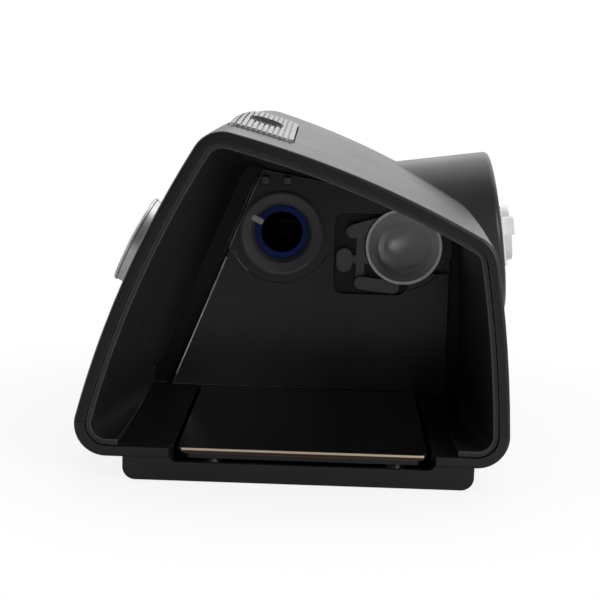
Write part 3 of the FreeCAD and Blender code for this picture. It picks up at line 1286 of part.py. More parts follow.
def to_board(placement):
    """A place on the front, told in the display board's frame."""
    return BOARD_PLACE.inverse().multVec(placement.Base)


def dial_encoder():
    """Square encoder body with a bore for the push shaft."""
    half, top = mm.encoder_half, BOARD_TOP + mm.encoder_height
    seat = to_board(DIAL_PLACE)
    block = local_block((seat.x - half, seat.y - half, BOARD_TOP), (seat.x + half, seat.y + half, top), BOARD_PLACE)
    neck_low = value(SHAFT_LOW)
    neck_high = top + mm.encoder_neck
    block = block.fuse(disc(mm.shaft_radius + mm.encoder_neck, neck_high - neck_low, DIAL_PLACE, neck_low))
    return block.cut(disc(mm.shaft_radius + mm.shaft_clear, BIG / 10, DIAL_PLACE, BOARD_TOP + mm.shaft_floor))


def screen_seat():
    """Middle of the screen window, told in the display board's frame."""
    mid_z = (SCREEN_LOW + SCREEN_HIGH) / 2
    return to_board(front_placement(SCREEN_LEFT + mm.screen_width / 2, mid_z))


def lcd_half():
    """Half the screen module's width and height."""
    return mm.screen_width / 2 - mm.lcd_edge, (SCREEN_HIGH - SCREEN_LOW) / 2 - mm.lcd_edge


def display_board():
    """Circuit board behind the front panel, under the screen, the dial and the home button."""
    screen, dial, home = screen_seat(), to_board(DIAL_PLACE), to_board(HOME_PLACE)
    half_x, half_y = lcd_half()
    low = (screen.x - half_x - mm.board_edge, home.y - mm.switch_half - mm.board_edge / 2, BOARD_TOP - mm.board_thick)
    high = (dial.x + mm.encoder_half + mm.board_edge, screen.y + half_y + mm.board_edge / 5, BOARD_TOP)
    return local_block(low, high, BOARD_PLACE)


def home_switch():
    """Tact switch under the home button."""
    seat, half = to_board(HOME_PLACE), mm.switch_half
    stem_top = -mm.home_sink - mm.home_travel - mm.switch_play
    body_top = (BOARD_TOP + seat.z + stem_top) / 2
    block = local_block((seat.x - half, seat.y - half, BOARD_TOP), (seat.x + half, seat.y + half, body_top),
                        BOARD_PLACE)
    stem_low = stem_top - (seat.z + stem_top - body_top) - mm.switch_stem / 2
    return block.fuse(disc(mm.switch_stem, stem_top - stem_low, HOME_PLACE, stem_low))


def screen_lens():
    """Clear window, flush in the front panel."""
    return SHELL.common(screen_window())


def lcd_module():
    """Screen behind the window, on the display board."""
    seat = screen_seat()
    half_x, half_y = lcd_half()
    return local_block((seat.x - half_x, seat.y - half_y, BOARD_TOP),
                       (seat.x + half_x, seat.y + half_y, BOARD_TOP + mm.lcd_thick), BOARD_PLACE)


solid_node("dial_encoder", dial_encoder())
solid_node("display_board", display_board())
solid_node("home_switch", home_switch())
solid_node("screen_lens", screen_lens())
solid_node("lcd_module", lcd_module())


# ---------------------------------------------------------------- start/stop button
def rib_grooves():
    """Fine grooves along the button, as slabs through its outer skin."""
    count = int(mm.key_width / mm.rib_pitch) - 1
    slabs = []
    for step in range(count):
        y = (step - (count - 1) / 2) * mm.rib_pitch
        low = (-mm.key_length, y - mm.rib_groove / 2, -mm.key_width / 2)
        slabs.append(local_block(low, (mm.key_length, y + mm.rib_groove / 2, mm.key_width / 2), KEY_PLACE))
    return Part.makeCompound(slabs)


def key_dish():
    """The button's dish as a tool: the low part of an ellipsoid that dips into the cap."""
    lift = 2 * mm.dish_depth
    spread = 1 / math.sqrt(1 - (lift / (lift + mm.dish_depth)) ** 2)
    stretch = FreeCAD.Matrix()
    stretch.scale(mm.dish_long * spread, mm.dish_short * spread, lift + mm.dish_depth)
    bowl = Part.makeSphere(1.0).transformGeometry(stretch)
    bowl.Placement = KEY_PLACE * Placement(Vector(0, 0, mm.key_rise + lift), Rotation())
    return bowl


def start_stop_button():
    """Ribbed cap that follows the ridge of the top, with a shallow dish."""
    cap = key_layer(-mm.key_rise, mm.key_thick - mm.key_rise)
    skin = key_layer(-mm.key_rise, mm.rib_groove - mm.key_rise)
    return cap.cut(skin.common(rib_grooves())).cut(key_dish())


solid_node("start_stop_button", start_stop_button())


def button_switch():
    """Carrier with two dome switches under the start/stop button."""
    top = mm.key_thick - mm.key_rise + mm.key_drop
    tray = key_layer(top, top + mm.carrier_plate, mm.carrier_lap)
    rim = key_layer(mm.wall + mm.seam_gap, top, mm.carrier_lap).cut(key_block(mm.carrier_lap - mm.carrier_rim))
    tray = tray.fuse(rim)
    dome_height = mm.key_drop - mm.key_travel - mm.switch_play
    for sign in (-1, 1):
        spot = surface_placement(top_point, KEY_X + sign * mm.key_length / 4, mm.key_y)
        dome = disc(mm.dome_radius, dome_height + mm.carrier_plate / 2, spot, -top - mm.carrier_plate / 2)
        tray = tray.fuse(dome)
    return tray.removeSplitter()


solid_node("button_switch", button_switch())


# ---------------------------------------------------------------- blower
AXIS_AT = ("blower_x", "blower_y")
VOLUTE_LOW = "blower_port_z - volute_height / 2"
VOLUTE_HIGH = "blower_port_z + volute_height / 2"


def blower_case(label, low, high, intake):
    """One half of the volute with half of its outlet duct."""
    at = (*AXIS_AT, VOLUTE_LOW)
    drum = cylinder(label + "_drum", "volute_radius", "volute_height", at)
    duct = cylinder(label + "_duct", "duct_radius + volute_wall", "volute_duct_end - blower_x",
                    ("blower_x", "blower_port_y", "blower_port_z"), "X")
    room = cylinder(label + "_room", "volute_radius - volute_wall", "volute_height - 2 * volute_wall",
                    (*AXIS_AT, f"{VOLUTE_LOW} + volute_wall"))
    bore = cylinder(label + "_bore", "duct_radius", "volute_duct_end - blower_x + 1",
                    ("blower_x", "blower_port_y", "blower_port_z"), "X")
    outside = [drum, duct]
    inside = [room, bore]
    if intake:
        collar_at = (*AXIS_AT, f"{VOLUTE_LOW} - intake_collar")
        outside.append(cylinder(label + "_collar", "intake_radius + volute_wall", "intake_collar", collar_at))
        inside.append(cylinder(label + "_intake", "intake_radius", "intake_collar + 2 * volute_wall", collar_at))
    else:
        top = (*AXIS_AT, f"{VOLUTE_HIGH} - 2 * volute_wall")
        inside.append(cylinder(label + "_shaft_hole", "rotor_radius + hole_clear", "3 * volute_wall", top))
    whole = cut(label + "_whole", fuse(label + "_outside", *outside), *inside)
    half = doc.addObject("Part::Common", label)
    half.Base = whole
    half.Tool = box(label + "_half", "3 * volute_radius", "3 * volute_radius", high + " - (" + low + ")",
                    ("blower_x - 1.5 * volute_radius", "blower_y - 1.5 * volute_radius", low))
    return node(half, label)


blower_case("blower_lower_case", f"{VOLUTE_LOW} - 2 * intake_collar", "(blower_port_z)", True)
blower_case("blower_upper_case", "blower_port_z + seam_gap / 4", f"({VOLUTE_HIGH} + 1)", False)

SHAFT = Placement(Vector(mm.blower_x, mm.blower_y, mm.blower_port_z), Rotation())


def impeller():
    """Back disc, hub and a ring of leaning blades."""
    owner = body("impeller")
    disc_sketch = sketch(owner, "XY_Plane", "impeller_disc_outline")
    ring(disc_sketch, "0", "0", "impeller_radius")
    ring(disc_sketch, "0", "0", "rotor_radius")
    pad(owner, "impeller_disc_pad", disc_sketch, "impeller_disc")
    hub = sketch(owner, "XY_Plane", "impeller_hub_outline")
    ring(hub, "0", "0", "hub_radius")
    ring(hub, "0", "0", "rotor_radius")
    pad(owner, "impeller_hub", hub, "impeller_height", True)
    blade = sketch(owner, "XY_Plane", "impeller_blade_outline")
    lean = "sin(blade_turn) * (impeller_radius - blade_root)"
    tip = "blade_root + cos(blade_turn) * (impeller_radius - blade_root) - 1"
    polygon(blade, [("blade_root", "-blade_thick / 2"), (tip, f"{lean} - blade_thick / 2"),
                    (tip, f"{lean} + blade_thick / 2"), ("blade_root", "blade_thick / 2")])
    one_blade = pad(owner, "impeller_blade", blade, "impeller_height", True)
    ring_of = owner.newObject("PartDesign::PolarPattern", "impeller_blades")
    ring_of.Originals = [one_blade]
    ring_of.Axis = (disc_sketch, ["N_Axis"])
    ring_of.Angle = 360
    bind(ring_of, Occurrences="blade_count")
    owner.Tip = ring_of
    owner.Placement = SHAFT
    return owner


impeller()
turned("rotor_magnet", [
    ("stator_radius + magnet_gap", "impeller_disc"),
    ("stator_radius + magnet_gap", "impeller_disc + stator_height"),
    ("stator_radius + magnet_gap + magnet_wall", "impeller_disc + stator_height"),
    ("stator_radius + magnet_gap + magnet_wall", "impeller_disc"),
], SHAFT)
turned("rotor_shaft", [
    ("0", "-impeller_height - shaft_out"), ("rotor_radius", "-impeller_height - shaft_out"),
    ("rotor_radius", "volute_height / 2 - volute_wall / 2"), ("0", "volute_height / 2 - volute_wall / 2"),
], SHAFT)
STATOR_TOP = "volute_height / 2 - volute_wall"
turned("motor_stator", [
    ("bearing_radius", f"{STATOR_TOP} - stator_height"), ("bearing_radius", STATOR_TOP),
    ("bearing_radius + stator_foot", STATOR_TOP), ("bearing_radius + stator_foot", f"{STATOR_TOP} - stator_step"),
    ("stator_radius", f"{STATOR_TOP} - stator_step"), ("stator_radius", f"{STATOR_TOP} - stator_height"),
], SHAFT)


def bearing(name, low):
    """One shaft bearing, a plain ring."""
    outer = cylinder(name + "_outer", "bearing_radius", "bearing_height", (*AXIS_AT, low))
    inner = cylinder(name + "_inner", "rotor_radius + running_gap", "bearing_height + 1", (*AXIS_AT, low))
    return cut(name, outer, inner)


BEARING_TOP = f"{VOLUTE_HIGH} - volute_wall"
node(fuse("shaft_bearings",
          bearing("upper_bearing", f"{BEARING_TOP} - bearing_height"),
          bearing("lower_bearing", f"{BEARING_TOP} - stator_height")), "shaft_bearings")


def blower_feet():
    """Silicone blocks between the volute and the muffler box."""
    feet = []
    for sign_x in ("-", "+"):
        for sign_y in ("-", "+"):
            at = (f"blower_x {sign_x} foot_spread * volute_radius - foot_wide / 2",
                  f"blower_y {sign_y} foot_spread * volute_radius - foot_wide / 2", "muffler_low_z + muffler_height")
            feet.append(box("blower_foot", "foot_wide", "foot_wide",
                            f"{VOLUTE_LOW} - muffler_low_z - muffler_height", at))
    return node(fuse("blower_feet", *feet), "blower_feet")


blower_feet()
RIDGE_X = "(volute_duct_end - boot_lap + port_wall_x - port_wall_thick - boot_end) / 2"
turned("outlet_boot", [
    ("duct_radius + volute_wall", "volute_duct_end - boot_lap"),
    ("duct_radius + volute_wall", "volute_duct_end"),
    ("duct_radius", "volute_duct_end"),
    ("duct_radius", f"{RING_BACK} - duct_tail"),
    ("duct_radius + duct_wall", f"{RING_BACK} - duct_tail"),
    ("duct_radius + duct_wall", f"{RING_BACK} - boot_end"),
    ("duct_radius + duct_wall + boot_wall", f"{RING_BACK} - boot_end"),
    ("duct_radius + duct_wall + boot_wall", f"{RIDGE_X} + boot_ridge"),
    ("duct_radius + duct_wall + boot_wall + boot_ridge", RIDGE_X),
    ("duct_radius + duct_wall + boot_wall", f"{RIDGE_X} - boot_ridge"),
    ("duct_radius + volute_wall + boot_wall", "volute_duct_end - boot_lap"),
], BLOWER_PORT)

# ---------------------------------------------------------------- intake and muffler
def hollow_box(name, at, size, wall, open_y):
    """A box and its inside, as two lists; the inside may run out through its +Y side."""
    outside = box(name + "_outside", *size, at)
    inner_at = tuple(f"{edge} + {wall}" for edge in at)
    depth = f"{size[1]} - {wall}" if open_y else f"{size[1]} - 2 * {wall}"
    inside = box(name + "_inside", f"{size[0]} - 2 * {wall}", depth, f"{size[2]} - 2 * {wall}", inner_at)
    return outside, inside


def muffler_box():
    """Sound box under the blower with an intake tunnel to the filter."""
    at = (TUNNEL_LEFT, "muffler_front_y", "muffler_low_z")
    size = (f"{MUFFLER_RIGHT} - ({TUNNEL_LEFT})", "muffler_rear_y - muffler_front_y", "muffler_height")
    main_out, main_in = hollow_box("muffler_main", at, size, "muffler_wall", False)
    tunnel_at = (TUNNEL_LEFT, "muffler_rear_y - 2 * muffler_wall", "filter_z - filter_height / 2 + tunnel_drop")
    tunnel_size = ("filter_width - 2 * tunnel_inset", "filter_seat_y - muffler_rear_y + 2 * muffler_wall",
                   "filter_height - 2 * tunnel_drop")
    tunnel_out, tunnel_in = hollow_box("muffler_tunnel", tunnel_at, tunnel_size, "muffler_wall", True)
    hole = cylinder("muffler_intake_hole", "intake_radius + volute_wall + hole_clear", "3 * muffler_wall",
                    (*AXIS_AT, "muffler_low_z + muffler_height - 2 * muffler_wall"))
    doorway = box("muffler_doorway", "filter_width - 2 * (tunnel_inset + doorway_inset)", "6 * muffler_wall",
                  "muffler_height - 2 * muffler_wall",
                  (f"{TUNNEL_LEFT} + doorway_inset", "muffler_rear_y - 3 * muffler_wall", "muffler_low_z + muffler_wall"))
    outside = fuse("muffler_outside", main_out, tunnel_out)
    return node(cut("muffler_box", outside, main_in, tunnel_in, hole, doorway), "muffler_box")


muffler_box()


def muffler_foam():
    """Foam along the muffler's walls, clear of the air's way to the intake."""
    x0 = f"{TUNNEL_LEFT} + muffler_wall"
    y0 = "muffler_front_y + muffler_wall"
    z0 = "muffler_low_z + muffler_wall"
    long = f"{MUFFLER_RIGHT} - ({TUNNEL_LEFT}) - 2 * muffler_wall"
    deep = "muffler_rear_y - muffler_front_y - 2 * muffler_wall"
    floor_pad = box("foam_floor", long, deep, "foam_thick", (x0, y0, z0))
    front_pad = box("foam_front", long, "foam_thick", "muffler_height - 2 * muffler_wall", (x0, y0, z0))
    end_pad = box("foam_end", "2 * foam_thick", deep, "muffler_height - 2 * muffler_wall",
                  (f"{MUFFLER_RIGHT} - muffler_wall - 2 * foam_thick", y0, z0))
    return node(fuse("muffler_foam", floor_pad, front_pad, end_pad), "muffler_foam")


muffler_foam()


def air_filter():
    """Pleated pad behind the rear cover."""
    owner = body("air_filter")
    frame = sketch(owner, "XY_Plane", "filter_outline", "filter_z - filter_height / 2 + filter_edge")
    left = f"{FILTER_LEFT} + 2 * tunnel_inset"
    right = f"{FILTER_RIGHT} - 2 * tunnel_inset"
    rectangle(frame, left, right, "filter_seat_y", "filter_seat_y + filter_thick")
    pad(owner, "filter_pad", frame, "filter_height - 2 * filter_edge")
    pleat = sketch(owner, "XZ_Plane", "filter_pleat", "-filter_seat_y - filter_thick")
    low = "filter_z - filter_height / 2 + filter_edge + filter_frame"
    rectangle(pleat, f"{left} + filter_frame", f"{right} - filter_frame", low, f"{low} + pleat_gap")
    groove = pocket(owner, "filter_pleat_cut", pleat, "filter_thick / 2", True)
    rows = owner.newObject("PartDesign::LinearPattern", "filter_pleats")
    rows.Originals = [groove]
    rows.Direction = (pleat, ["V_Axis"])
    bind(rows, Length="filter_height - 2 * (filter_edge + filter_frame) - pleat_gap",
         Occurrences="filter_pleats_count")
    owner.Tip = rows
    return owner


air_filter()


def hinged_cover(window, axis_start, axis_way, length):
    """A piece of the outer wall with a rounded knuckle along its lower edge."""
    knuckle = Part.makeCylinder(mm.hinge_radius, length, axis_start, axis_way)
    return SHELL.common(window).fuse(knuckle).removeSplitter()


def filter_hinge():
    """Start of the filter cover's hinge axis, inside its lower edge."""
    z = mm.filter_z - mm.filter_height / 2 + mm.hinge_inset
    return Vector(value(FILTER_LEFT) + mm.hinge_end, rear_y(z) - mm.hinge_depth, z)


def side_hinge(y, z, width, height):
    """Start of a side cover's hinge axis, inside its lower edge."""
    low = z - height / 2 + mm.hinge_inset
    return Vector(mm.hinge_depth - mm.half_width, y - width / 2 + mm.hinge_end, low)


filter_window = rear_cover_block(FILTER_X, mm.filter_z, mm.filter_width, mm.filter_height, 0.0, BIG / 10)
filter_door = hinged_cover(filter_window, filter_hinge(), X_AXIS, mm.filter_width - 2 * mm.hinge_end)


def louvres():
    """Five slots across the filter cover."""
    slots = []
    for step in range(5):
        z = mm.filter_z - mm.filter_height / 4 + step * mm.louvre_pitch
        half = mm.filter_width / 2 - mm.louvre_inset
        slots.append(slab(Vector(FILTER_X - half, 0, z), Vector(FILTER_X + half, BIG / 2, z + mm.louvre_gap)))
    return Part.makeCompound(slots)


solid_node("filter_cover", filter_door.cut(louvres()))
card_window = side_block(mm.sd_y, mm.sd_z, mm.sd_width, mm.sd_height, 0.0, BIG / 20)
solid_node("sd_card_cover", hinged_cover(card_window, side_hinge(mm.sd_y, mm.sd_z, mm.sd_width, mm.sd_height),
                                         Y_AXIS, mm.sd_width - 2 * mm.hinge_end))
adapter_window = side_block(mm.adapter_y, mm.adapter_z, mm.adapter_width, mm.adapter_height, 0.0, BIG / 20)
solid_node("adapter_cover", SHELL.common(adapter_window))

# ---------------------------------------------------------------- main board and what it carries
BOARD_Z = "main_board_z + board_thick"


def main_board():
    """Main circuit board with four screw holes."""
    owner = body("main_board")
    drawing = sketch(owner, "XY_Plane", "main_board_outline", "main_board_z")
    rectangle(drawing, BOARD_LEFT, BOARD_RIGHT, BOARD_FRONT, BOARD_REAR)
    for x in (f"{BOARD_LEFT} + board_hole_inset", f"{BOARD_RIGHT} - board_hole_inset"):
        for y in (f"{BOARD_FRONT} + board_hole_inset", f"{BOARD_REAR} - board_hole_inset"):
            ring(drawing, x, y, "screw_radius + seam_gap")
    pad(owner, "main_board_pad", drawing, "board_thick")
    round_edges(owner, "main_board_corners", "board_hole_inset / 2", along(Z_AXIS))
    return owner


main_board()
# columns and rows of the grid from the board's front left corner, then sizes, in grid steps;
# a column below zero counts from the right edge
CHIPS = {
    "processor": (-13.5, 3, 7, 7, 0.8), "memory": (17, 3.5, 4, 6, 0.6), "driver": (-8.5, 18, 5, 5, 0.8),
    "coil": (7, 30, 6, 6, 3.5), "motor_socket": (-10.5, 39, 5, 2.5, 3), "heater_socket": (-5.5, 28, 4, 3, 3),
}
CANS = {"bulk_can": (10, 41, 2.5, 6), "filter_can": (21, 25, 2, 5), "output_can": (16, 29, 2, 5)}


def on_grid(column, row):
    """A place on the main board."""
    x = f"{BOARD_LEFT} + {column} * board_grid" if column >= 0 else f"{BOARD_RIGHT} - {-column} * board_grid"
    return x, f"{BOARD_FRONT} + {row} * board_grid", BOARD_Z


def main_board_parts():
    """The larger parts on the main board, one group."""
    parts = []
    for name, (column, row, wide, deep, high) in CHIPS.items():
        sizes = [f"{steps} * board_grid" for steps in (wide, deep, high)]
        parts.append(box(name, *sizes, on_grid(column, row)))
    for name, (column, row, radius, high) in CANS.items():
        parts.append(cylinder(name, f"{radius} * board_grid", f"{high} * board_grid", on_grid(column, row)))
    socket_at = ("ribbon_x - ribbon_half - ribbon_thick", f"{BOARD_FRONT} + board_grid / 4", BOARD_Z)
    parts.append(box("ribbon_socket", "2 * (ribbon_half + ribbon_thick)", "socket_deep", "socket_height", socket_at))
    return node(fuse("main_board_parts", *parts), "main_board_parts")


main_board_parts()


def board_screws():
    """Four pan-head screws that hold the main board to its posts."""
    screws = []
    head_z = mm.main_board_z + mm.board_thick
    for centre in board_posts():
        head = Part.makeCylinder(mm.screw_head, mm.screw_head_height, centre + Z_AXIS * head_z)
        head = head.makeFillet(mm.screw_head_height / 3, [e for e in head.Edges if e.BoundBox.ZMin > head_z + 1])
        half_slot = mm.screw_radius / 4
        slot = slab(centre + Vector(-mm.screw_head, -half_slot, head_z + mm.screw_head_height / 2),
                    centre + Vector(mm.screw_head, half_slot, head_z + BIG))
        shank = Part.makeCylinder(mm.screw_radius, mm.board_thick, centre + Z_AXIS * mm.main_board_z)
        screws.append(head.fuse(shank).cut(slot).removeSplitter())
    return Part.makeCompound(screws)


solid_node("board_screws", board_screws())


def display_ribbon():
    """Flat cable from the display board down to its socket on the main board."""
    half = mm.ribbon_thick / 2
    leave = Vector(mm.ribbon_x - mm.board_x, -mm.ribbon_drop, BOARD_TOP - mm.board_thick)
    start = BOARD_PLACE.multVec(leave - Z_AXIS * 2 * half)
    back = BOARD_PLACE.multVec(leave - Z_AXIS * mm.socket_height)
    socket_z = mm.main_board_z + mm.board_thick + mm.socket_height
    socket = Vector(0, value(BOARD_FRONT) + mm.board_grid / 4 + mm.socket_deep / 2, socket_z)
    points = [start, back, Vector(0, back.y, socket.z + 2 * mm.socket_deep), socket + Z_AXIS * mm.socket_deep, socket]
    left = mm.ribbon_x - mm.ribbon_half
    outline_points = [Vector(left, p.y + half, p.z) for p in points]
    outline_points += [Vector(left, p.y - half, p.z) for p in reversed(points)]
    face = Part.Face(Part.makePolygon(outline_points + outline_points[:1]))
    return face.extrude(X_AXIS * 2 * mm.ribbon_half)


solid_node("display_ribbon", display_ribbon())


def sensor(label, at, wide, deep, nipples):
    """A sensor block with its hose nipples, told from the block's low corner."""
    x, y, z = at
    parts = [box(label + "_block", wide, deep, "sensor_height", at)]
    for share in nipples:
        nipple_at = (f"{x} + {wide} / 2", f"{y} + {deep} * {share}", f"{z} + sensor_height")
        parts.append(cylinder(label + "_nipple", "nipple_radius", "nipple_height", nipple_at))
    return node(fuse(label, *parts), label)


PRESSURE_AT = (f"{BOARD_RIGHT} - 5.5 * board_grid", f"{BOARD_FRONT} + 7 * board_grid", BOARD_Z)
SENSOR_WIDE = "4 * board_grid"
sensor("flow_sensor", (f"{TUNNEL_LEFT} + board_grid / 2", "muffler_front_y + 11 * board_grid",
                       "muffler_low_z + muffler_height"), "4.5 * board_grid", "8 * board_grid", (0.25, 0.75))
sensor("pressure_sensor", PRESSURE_AT, SENSOR_WIDE, SENSOR_WIDE, (0.5,))


def pressure_hose():
    """Thin hose from the pressure sensor's nipple to the outlet boot."""
    low_z = value(f"{BOARD_Z} + sensor_height") + mm.seam_gap * 2
    low = Vector(value(f"{PRESSURE_AT[0]} + {SENSOR_WIDE} / 2"), value(f"{PRESSURE_AT[1]} + {SENSOR_WIDE} / 2"), low_z)
    axis = Vector(low.x, mm.blower_port_y, mm.blower_port_z)
    turn, bend = math.radians(45), mm.hose_bend
    first = Vector(low.x, low.y, axis.z - (axis.y - low.y) - bend * math.tan(turn / 2))
    middle = first + Vector(0, bend * (1 - math.cos(turn / 2)), bend * math.sin(turn / 2))
    last = first + Vector(0, bend * (1 - math.cos(turn)), bend * math.sin(turn))
    boot_radius = mm.duct_radius + mm.volute_wall + mm.boot_wall
    end = axis - Vector(0, math.sin(turn), math.cos(turn)) * boot_radius
    path = Part.Wire([Part.makeLine(low, first), Part.Arc(first, middle, last).toShape(), Part.makeLine(last, end)])
    return swept_disc(mm.hose_radius, path, low, Z_AXIS).cut(swept_disc(mm.nipple_radius, path, low, Z_AXIS))


solid_node("pressure_hose", pressure_hose())

# ---------------------------------------------------------------- power inlet
INLET_PLACE = Placement(Vector(INLET_X, rear_y(mm.inlet_z) + mm.inlet_proud, mm.inlet_z), Rotation(X_AXIS, -90))
ROOM = "inlet_bore + inlet_step"
nose = turned("inlet_nose_body", [
    ("inlet_bore", "0"), ("inlet_bore", "-inlet_collar"), (ROOM, "-inlet_collar"), (ROOM, "-inlet_deep"),
    ("0", "-inlet_deep"), ("0", "-inlet_deep - inlet_back"), ("inlet_nose", "-inlet_deep - inlet_back"),
    ("inlet_nose", "-inlet_proud"), ("inlet_nose - inlet_proud", "0"),
], INLET_PLACE, False)


def power_inlet():
    """Round nose with the plug hole, on a block that stands on the main board."""
    doc.recompute()
    height = mm.inlet_z - mm.main_board_z - mm.board_thick
    block = local_block((-mm.inlet_half, 0, -mm.inlet_deep - mm.inlet_back), (mm.inlet_half, height, -mm.inlet_front),
                        INLET_PLACE)
    room = disc(mm.inlet_bore + mm.inlet_step, mm.inlet_deep - mm.inlet_collar, INLET_PLACE, -mm.inlet_deep)
    return nose.Shape.fuse(block).cut(room).removeSplitter()


solid_node("power_inlet", power_inlet())
turned("inlet_pin", [
    ("0", "-inlet_deep"), ("inlet_pin_radius", "-inlet_deep"),
    ("inlet_pin_radius", "-inlet_collar - 2.5 * inlet_pin_radius"), ("0", "-inlet_collar - 2 * inlet_pin_radius"),
], INLET_PLACE)


def retention_clip():
    """Hinged bail that swings down over a plug."""
    axis = clip_axis()
    arms = []
    for sign in (-1, 1):
        x = axis.x + sign * mm.clip_half
        arm_low = Vector(x - mm.clip_thick / 2, axis.y - mm.clip_thick / 2, axis.z - mm.clip_drop)
        arms.append(slab(arm_low, Vector(x + mm.clip_thick / 2, axis.y + mm.clip_thick / 2, axis.z)))
        eye_at = axis + X_AXIS * (sign * mm.clip_half - mm.clip_thick / 2)
        arms.append(Part.makeCylinder(mm.clip_eye, mm.clip_thick, eye_at, X_AXIS))
    bar = slab(Vector(axis.x - mm.clip_half, axis.y - mm.clip_thick / 2, axis.z - mm.clip_drop - mm.clip_thick),
               Vector(axis.x + mm.clip_half, axis.y + mm.clip_thick / 2, axis.z - mm.clip_drop))
    bail = bar.fuse(arms)
    eye = Part.makeCylinder(mm.clip_pin_radius + mm.running_gap, BIG, axis - X_AXIS * BIG / 2, X_AXIS)
    return bail.cut(eye).removeSplitter()


solid_node("retention_clip", retention_clip())
turned("clip_pin", [
    ("0", "-clip_half - clip_lug"), ("clip_pin_radius", "-clip_half - clip_lug"),
    ("clip_pin_radius", "clip_half + clip_lug"), ("0", "clip_half + clip_lug"),
], Placement(clip_axis(), Rotation(Y_AXIS, 90)))

# ---------------------------------------------------------------- memory card
CARD_X = "hinge_depth - half_width + card_travel + card_gap"


def sd_card():
    """Memory card with one cut corner."""
    owner = body("sd_card")
    drawing = sketch(owner, "XY_Plane", "card_outline", "sd_z - card_thick / 2")
    y0, y1 = "sd_y - card_width / 2", "sd_y + card_width / 2"
    polygon(drawing, [(CARD_X, y0), (f"{CARD_X} + card_length - card_corner", y0),
                      (f"{CARD_X} + card_length", f"{y0} + card_corner"),
                      (f"{CARD_X} + card_length", y1), (CARD_X, y1)])
    pad(owner, "card_pad", drawing, "card_thick")
    return owner


def sd_socket():
    """Card socket on four legs."""
    left = f"{CARD_X} + socket_lap"
    low_z = "sd_z - card_thick / 2 - socket_wall"
    low_y = "sd_y - card_width / 2 - 1.5 * socket_wall"
    shell_box = box("socket_shell", "card_length - 1.5 * socket_leg", "card_width + 3 * socket_wall",
                    "card_thick + 2 * socket_wall", (left, low_y, low_z))
    slot = box("socket_slot", "card_length - 1.5 * socket_leg", "card_width + 0.5 * socket_wall",
               "card_thick + 0.3 * socket_wall", (f"{left} - socket_wall", "sd_y - card_width / 2 - socket_wall / 4",
                                                  "sd_z - card_thick / 2 - 0.15 * socket_wall"))
    legs = []
    for x in (f"{left} + 3 * socket_leg", f"{left} + card_length - 3.5 * socket_leg"):
        for y in ("sd_y - card_width / 2 - socket_leg / 2", "sd_y + card_width / 2 - socket_leg / 2"):
            legs.append(box("socket_leg_post", "socket_leg", "socket_leg", f"{low_z} - ({BOARD_Z})", (x, y, BOARD_Z)))
    return node(cut("sd_socket", fuse("socket_outside", shell_box, *legs), slot), "sd_socket")


sd_card()
sd_socket()

# ---------------------------------------------------------------- small parts
feet = [Part.makeCylinder(mm.foot_radius - mm.seam_gap / 2, mm.foot_seat + mm.foot_stand, centre)
        for centre in foot_centres()]
feet = [foot.makeFillet(mm.foot_stand / 2, [e for e in foot.Edges if e.BoundBox.ZMax < mm.foot_stand / 2])
        for foot in feet]
solid_node("feet", Part.makeCompound(feet))


def contact_frame(shape):
    """Move a shape from the barrel end's own frame to its place."""
    shape.Placement = BARREL_END
    return shape


def tube_contact_block():
    """Light block on the barrel's end for the heated hose's plug, with its strip."""
    near, far = mm.cuff_radius + mm.contact_margin, mm.cuff_radius + mm.contact_margin + mm.contact_width
    block = slab(Vector(near, -mm.contact_lift - mm.contact_height / 2, 0),
                 Vector(far, mm.contact_height / 2 - mm.contact_lift, mm.contact_rise))
    block = rounded_corners(block, Z_AXIS, 1.0)
    strip = slab(Vector(near - 0.6, -mm.contact_strip / 2, 0), Vector(far + 0.6, mm.contact_strip / 2, 0.8))
    strip = rounded_corners(strip, Z_AXIS, 1.5)
    holes = []
    for step in (-1, 0, 1):
        y = step * mm.contact_height / 3 - mm.contact_lift
        hole = slab(Vector(near + 1.2, y - 0.6, mm.contact_rise - 3), Vector(far - 1.2, y + 0.6, BIG))
        holes.append(hole)
    return contact_frame(block.fuse(strip).cut(Part.makeCompound(holes)).removeSplitter())


def contact_pins():
    """Three contact blades in the block."""
    near, far = mm.cuff_radius + mm.contact_margin, mm.cuff_radius + mm.contact_margin + mm.contact_width
    blades = []
    for step in (-1, 0, 1):
        y = step * mm.contact_height / 3 - mm.contact_lift
        blades.append(slab(Vector(near + 2, y - 0.3, mm.contact_rise - 3), Vector(far - 2, y + 0.3, mm.contact_rise - 0.6)))
    return contact_frame(Part.makeCompound(blades))


solid_node("tube_contact_block", tube_contact_block())
solid_node("contact_pins", contact_pins())
solid_node("light_sensor_window", SHELL.common(disc(mm.sensor_radius, BIG / 10, SENSOR_PLACE, -BIG / 20)))

# ---------------------------------------------------------------- export
def write_parts():
    """Check every object and write each sub-part."""
    doc.recompute()
    bad = [obj.Label for obj in doc.Objects if "Invalid" in obj.State or "Error" in obj.State]
    for obj in NODES:
        shape = obj.Shape
        if shape.isNull() or not shape.isValid() or not shape.Solids:
            bad.append(obj.Label)
    if bad:
        raise RuntimeError("failed: " + ", ".join(bad))
    for obj in NODES:
        obj.Shape.exportStep(f"parts/{obj.Label}.step")
    print(len(NODES), "nodes")


write_parts()
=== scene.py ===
"""Dressed scene for the CPAP machine: studio, camera, materials and small surface details.

Metres, in the same frame as the solids: the user stands at -Y, the tub bay opens at +X.
"""
import json
import math

import bmesh
import bpy
from mathutils import Matrix, Vector
from mathutils.bvhtree import BVHTree


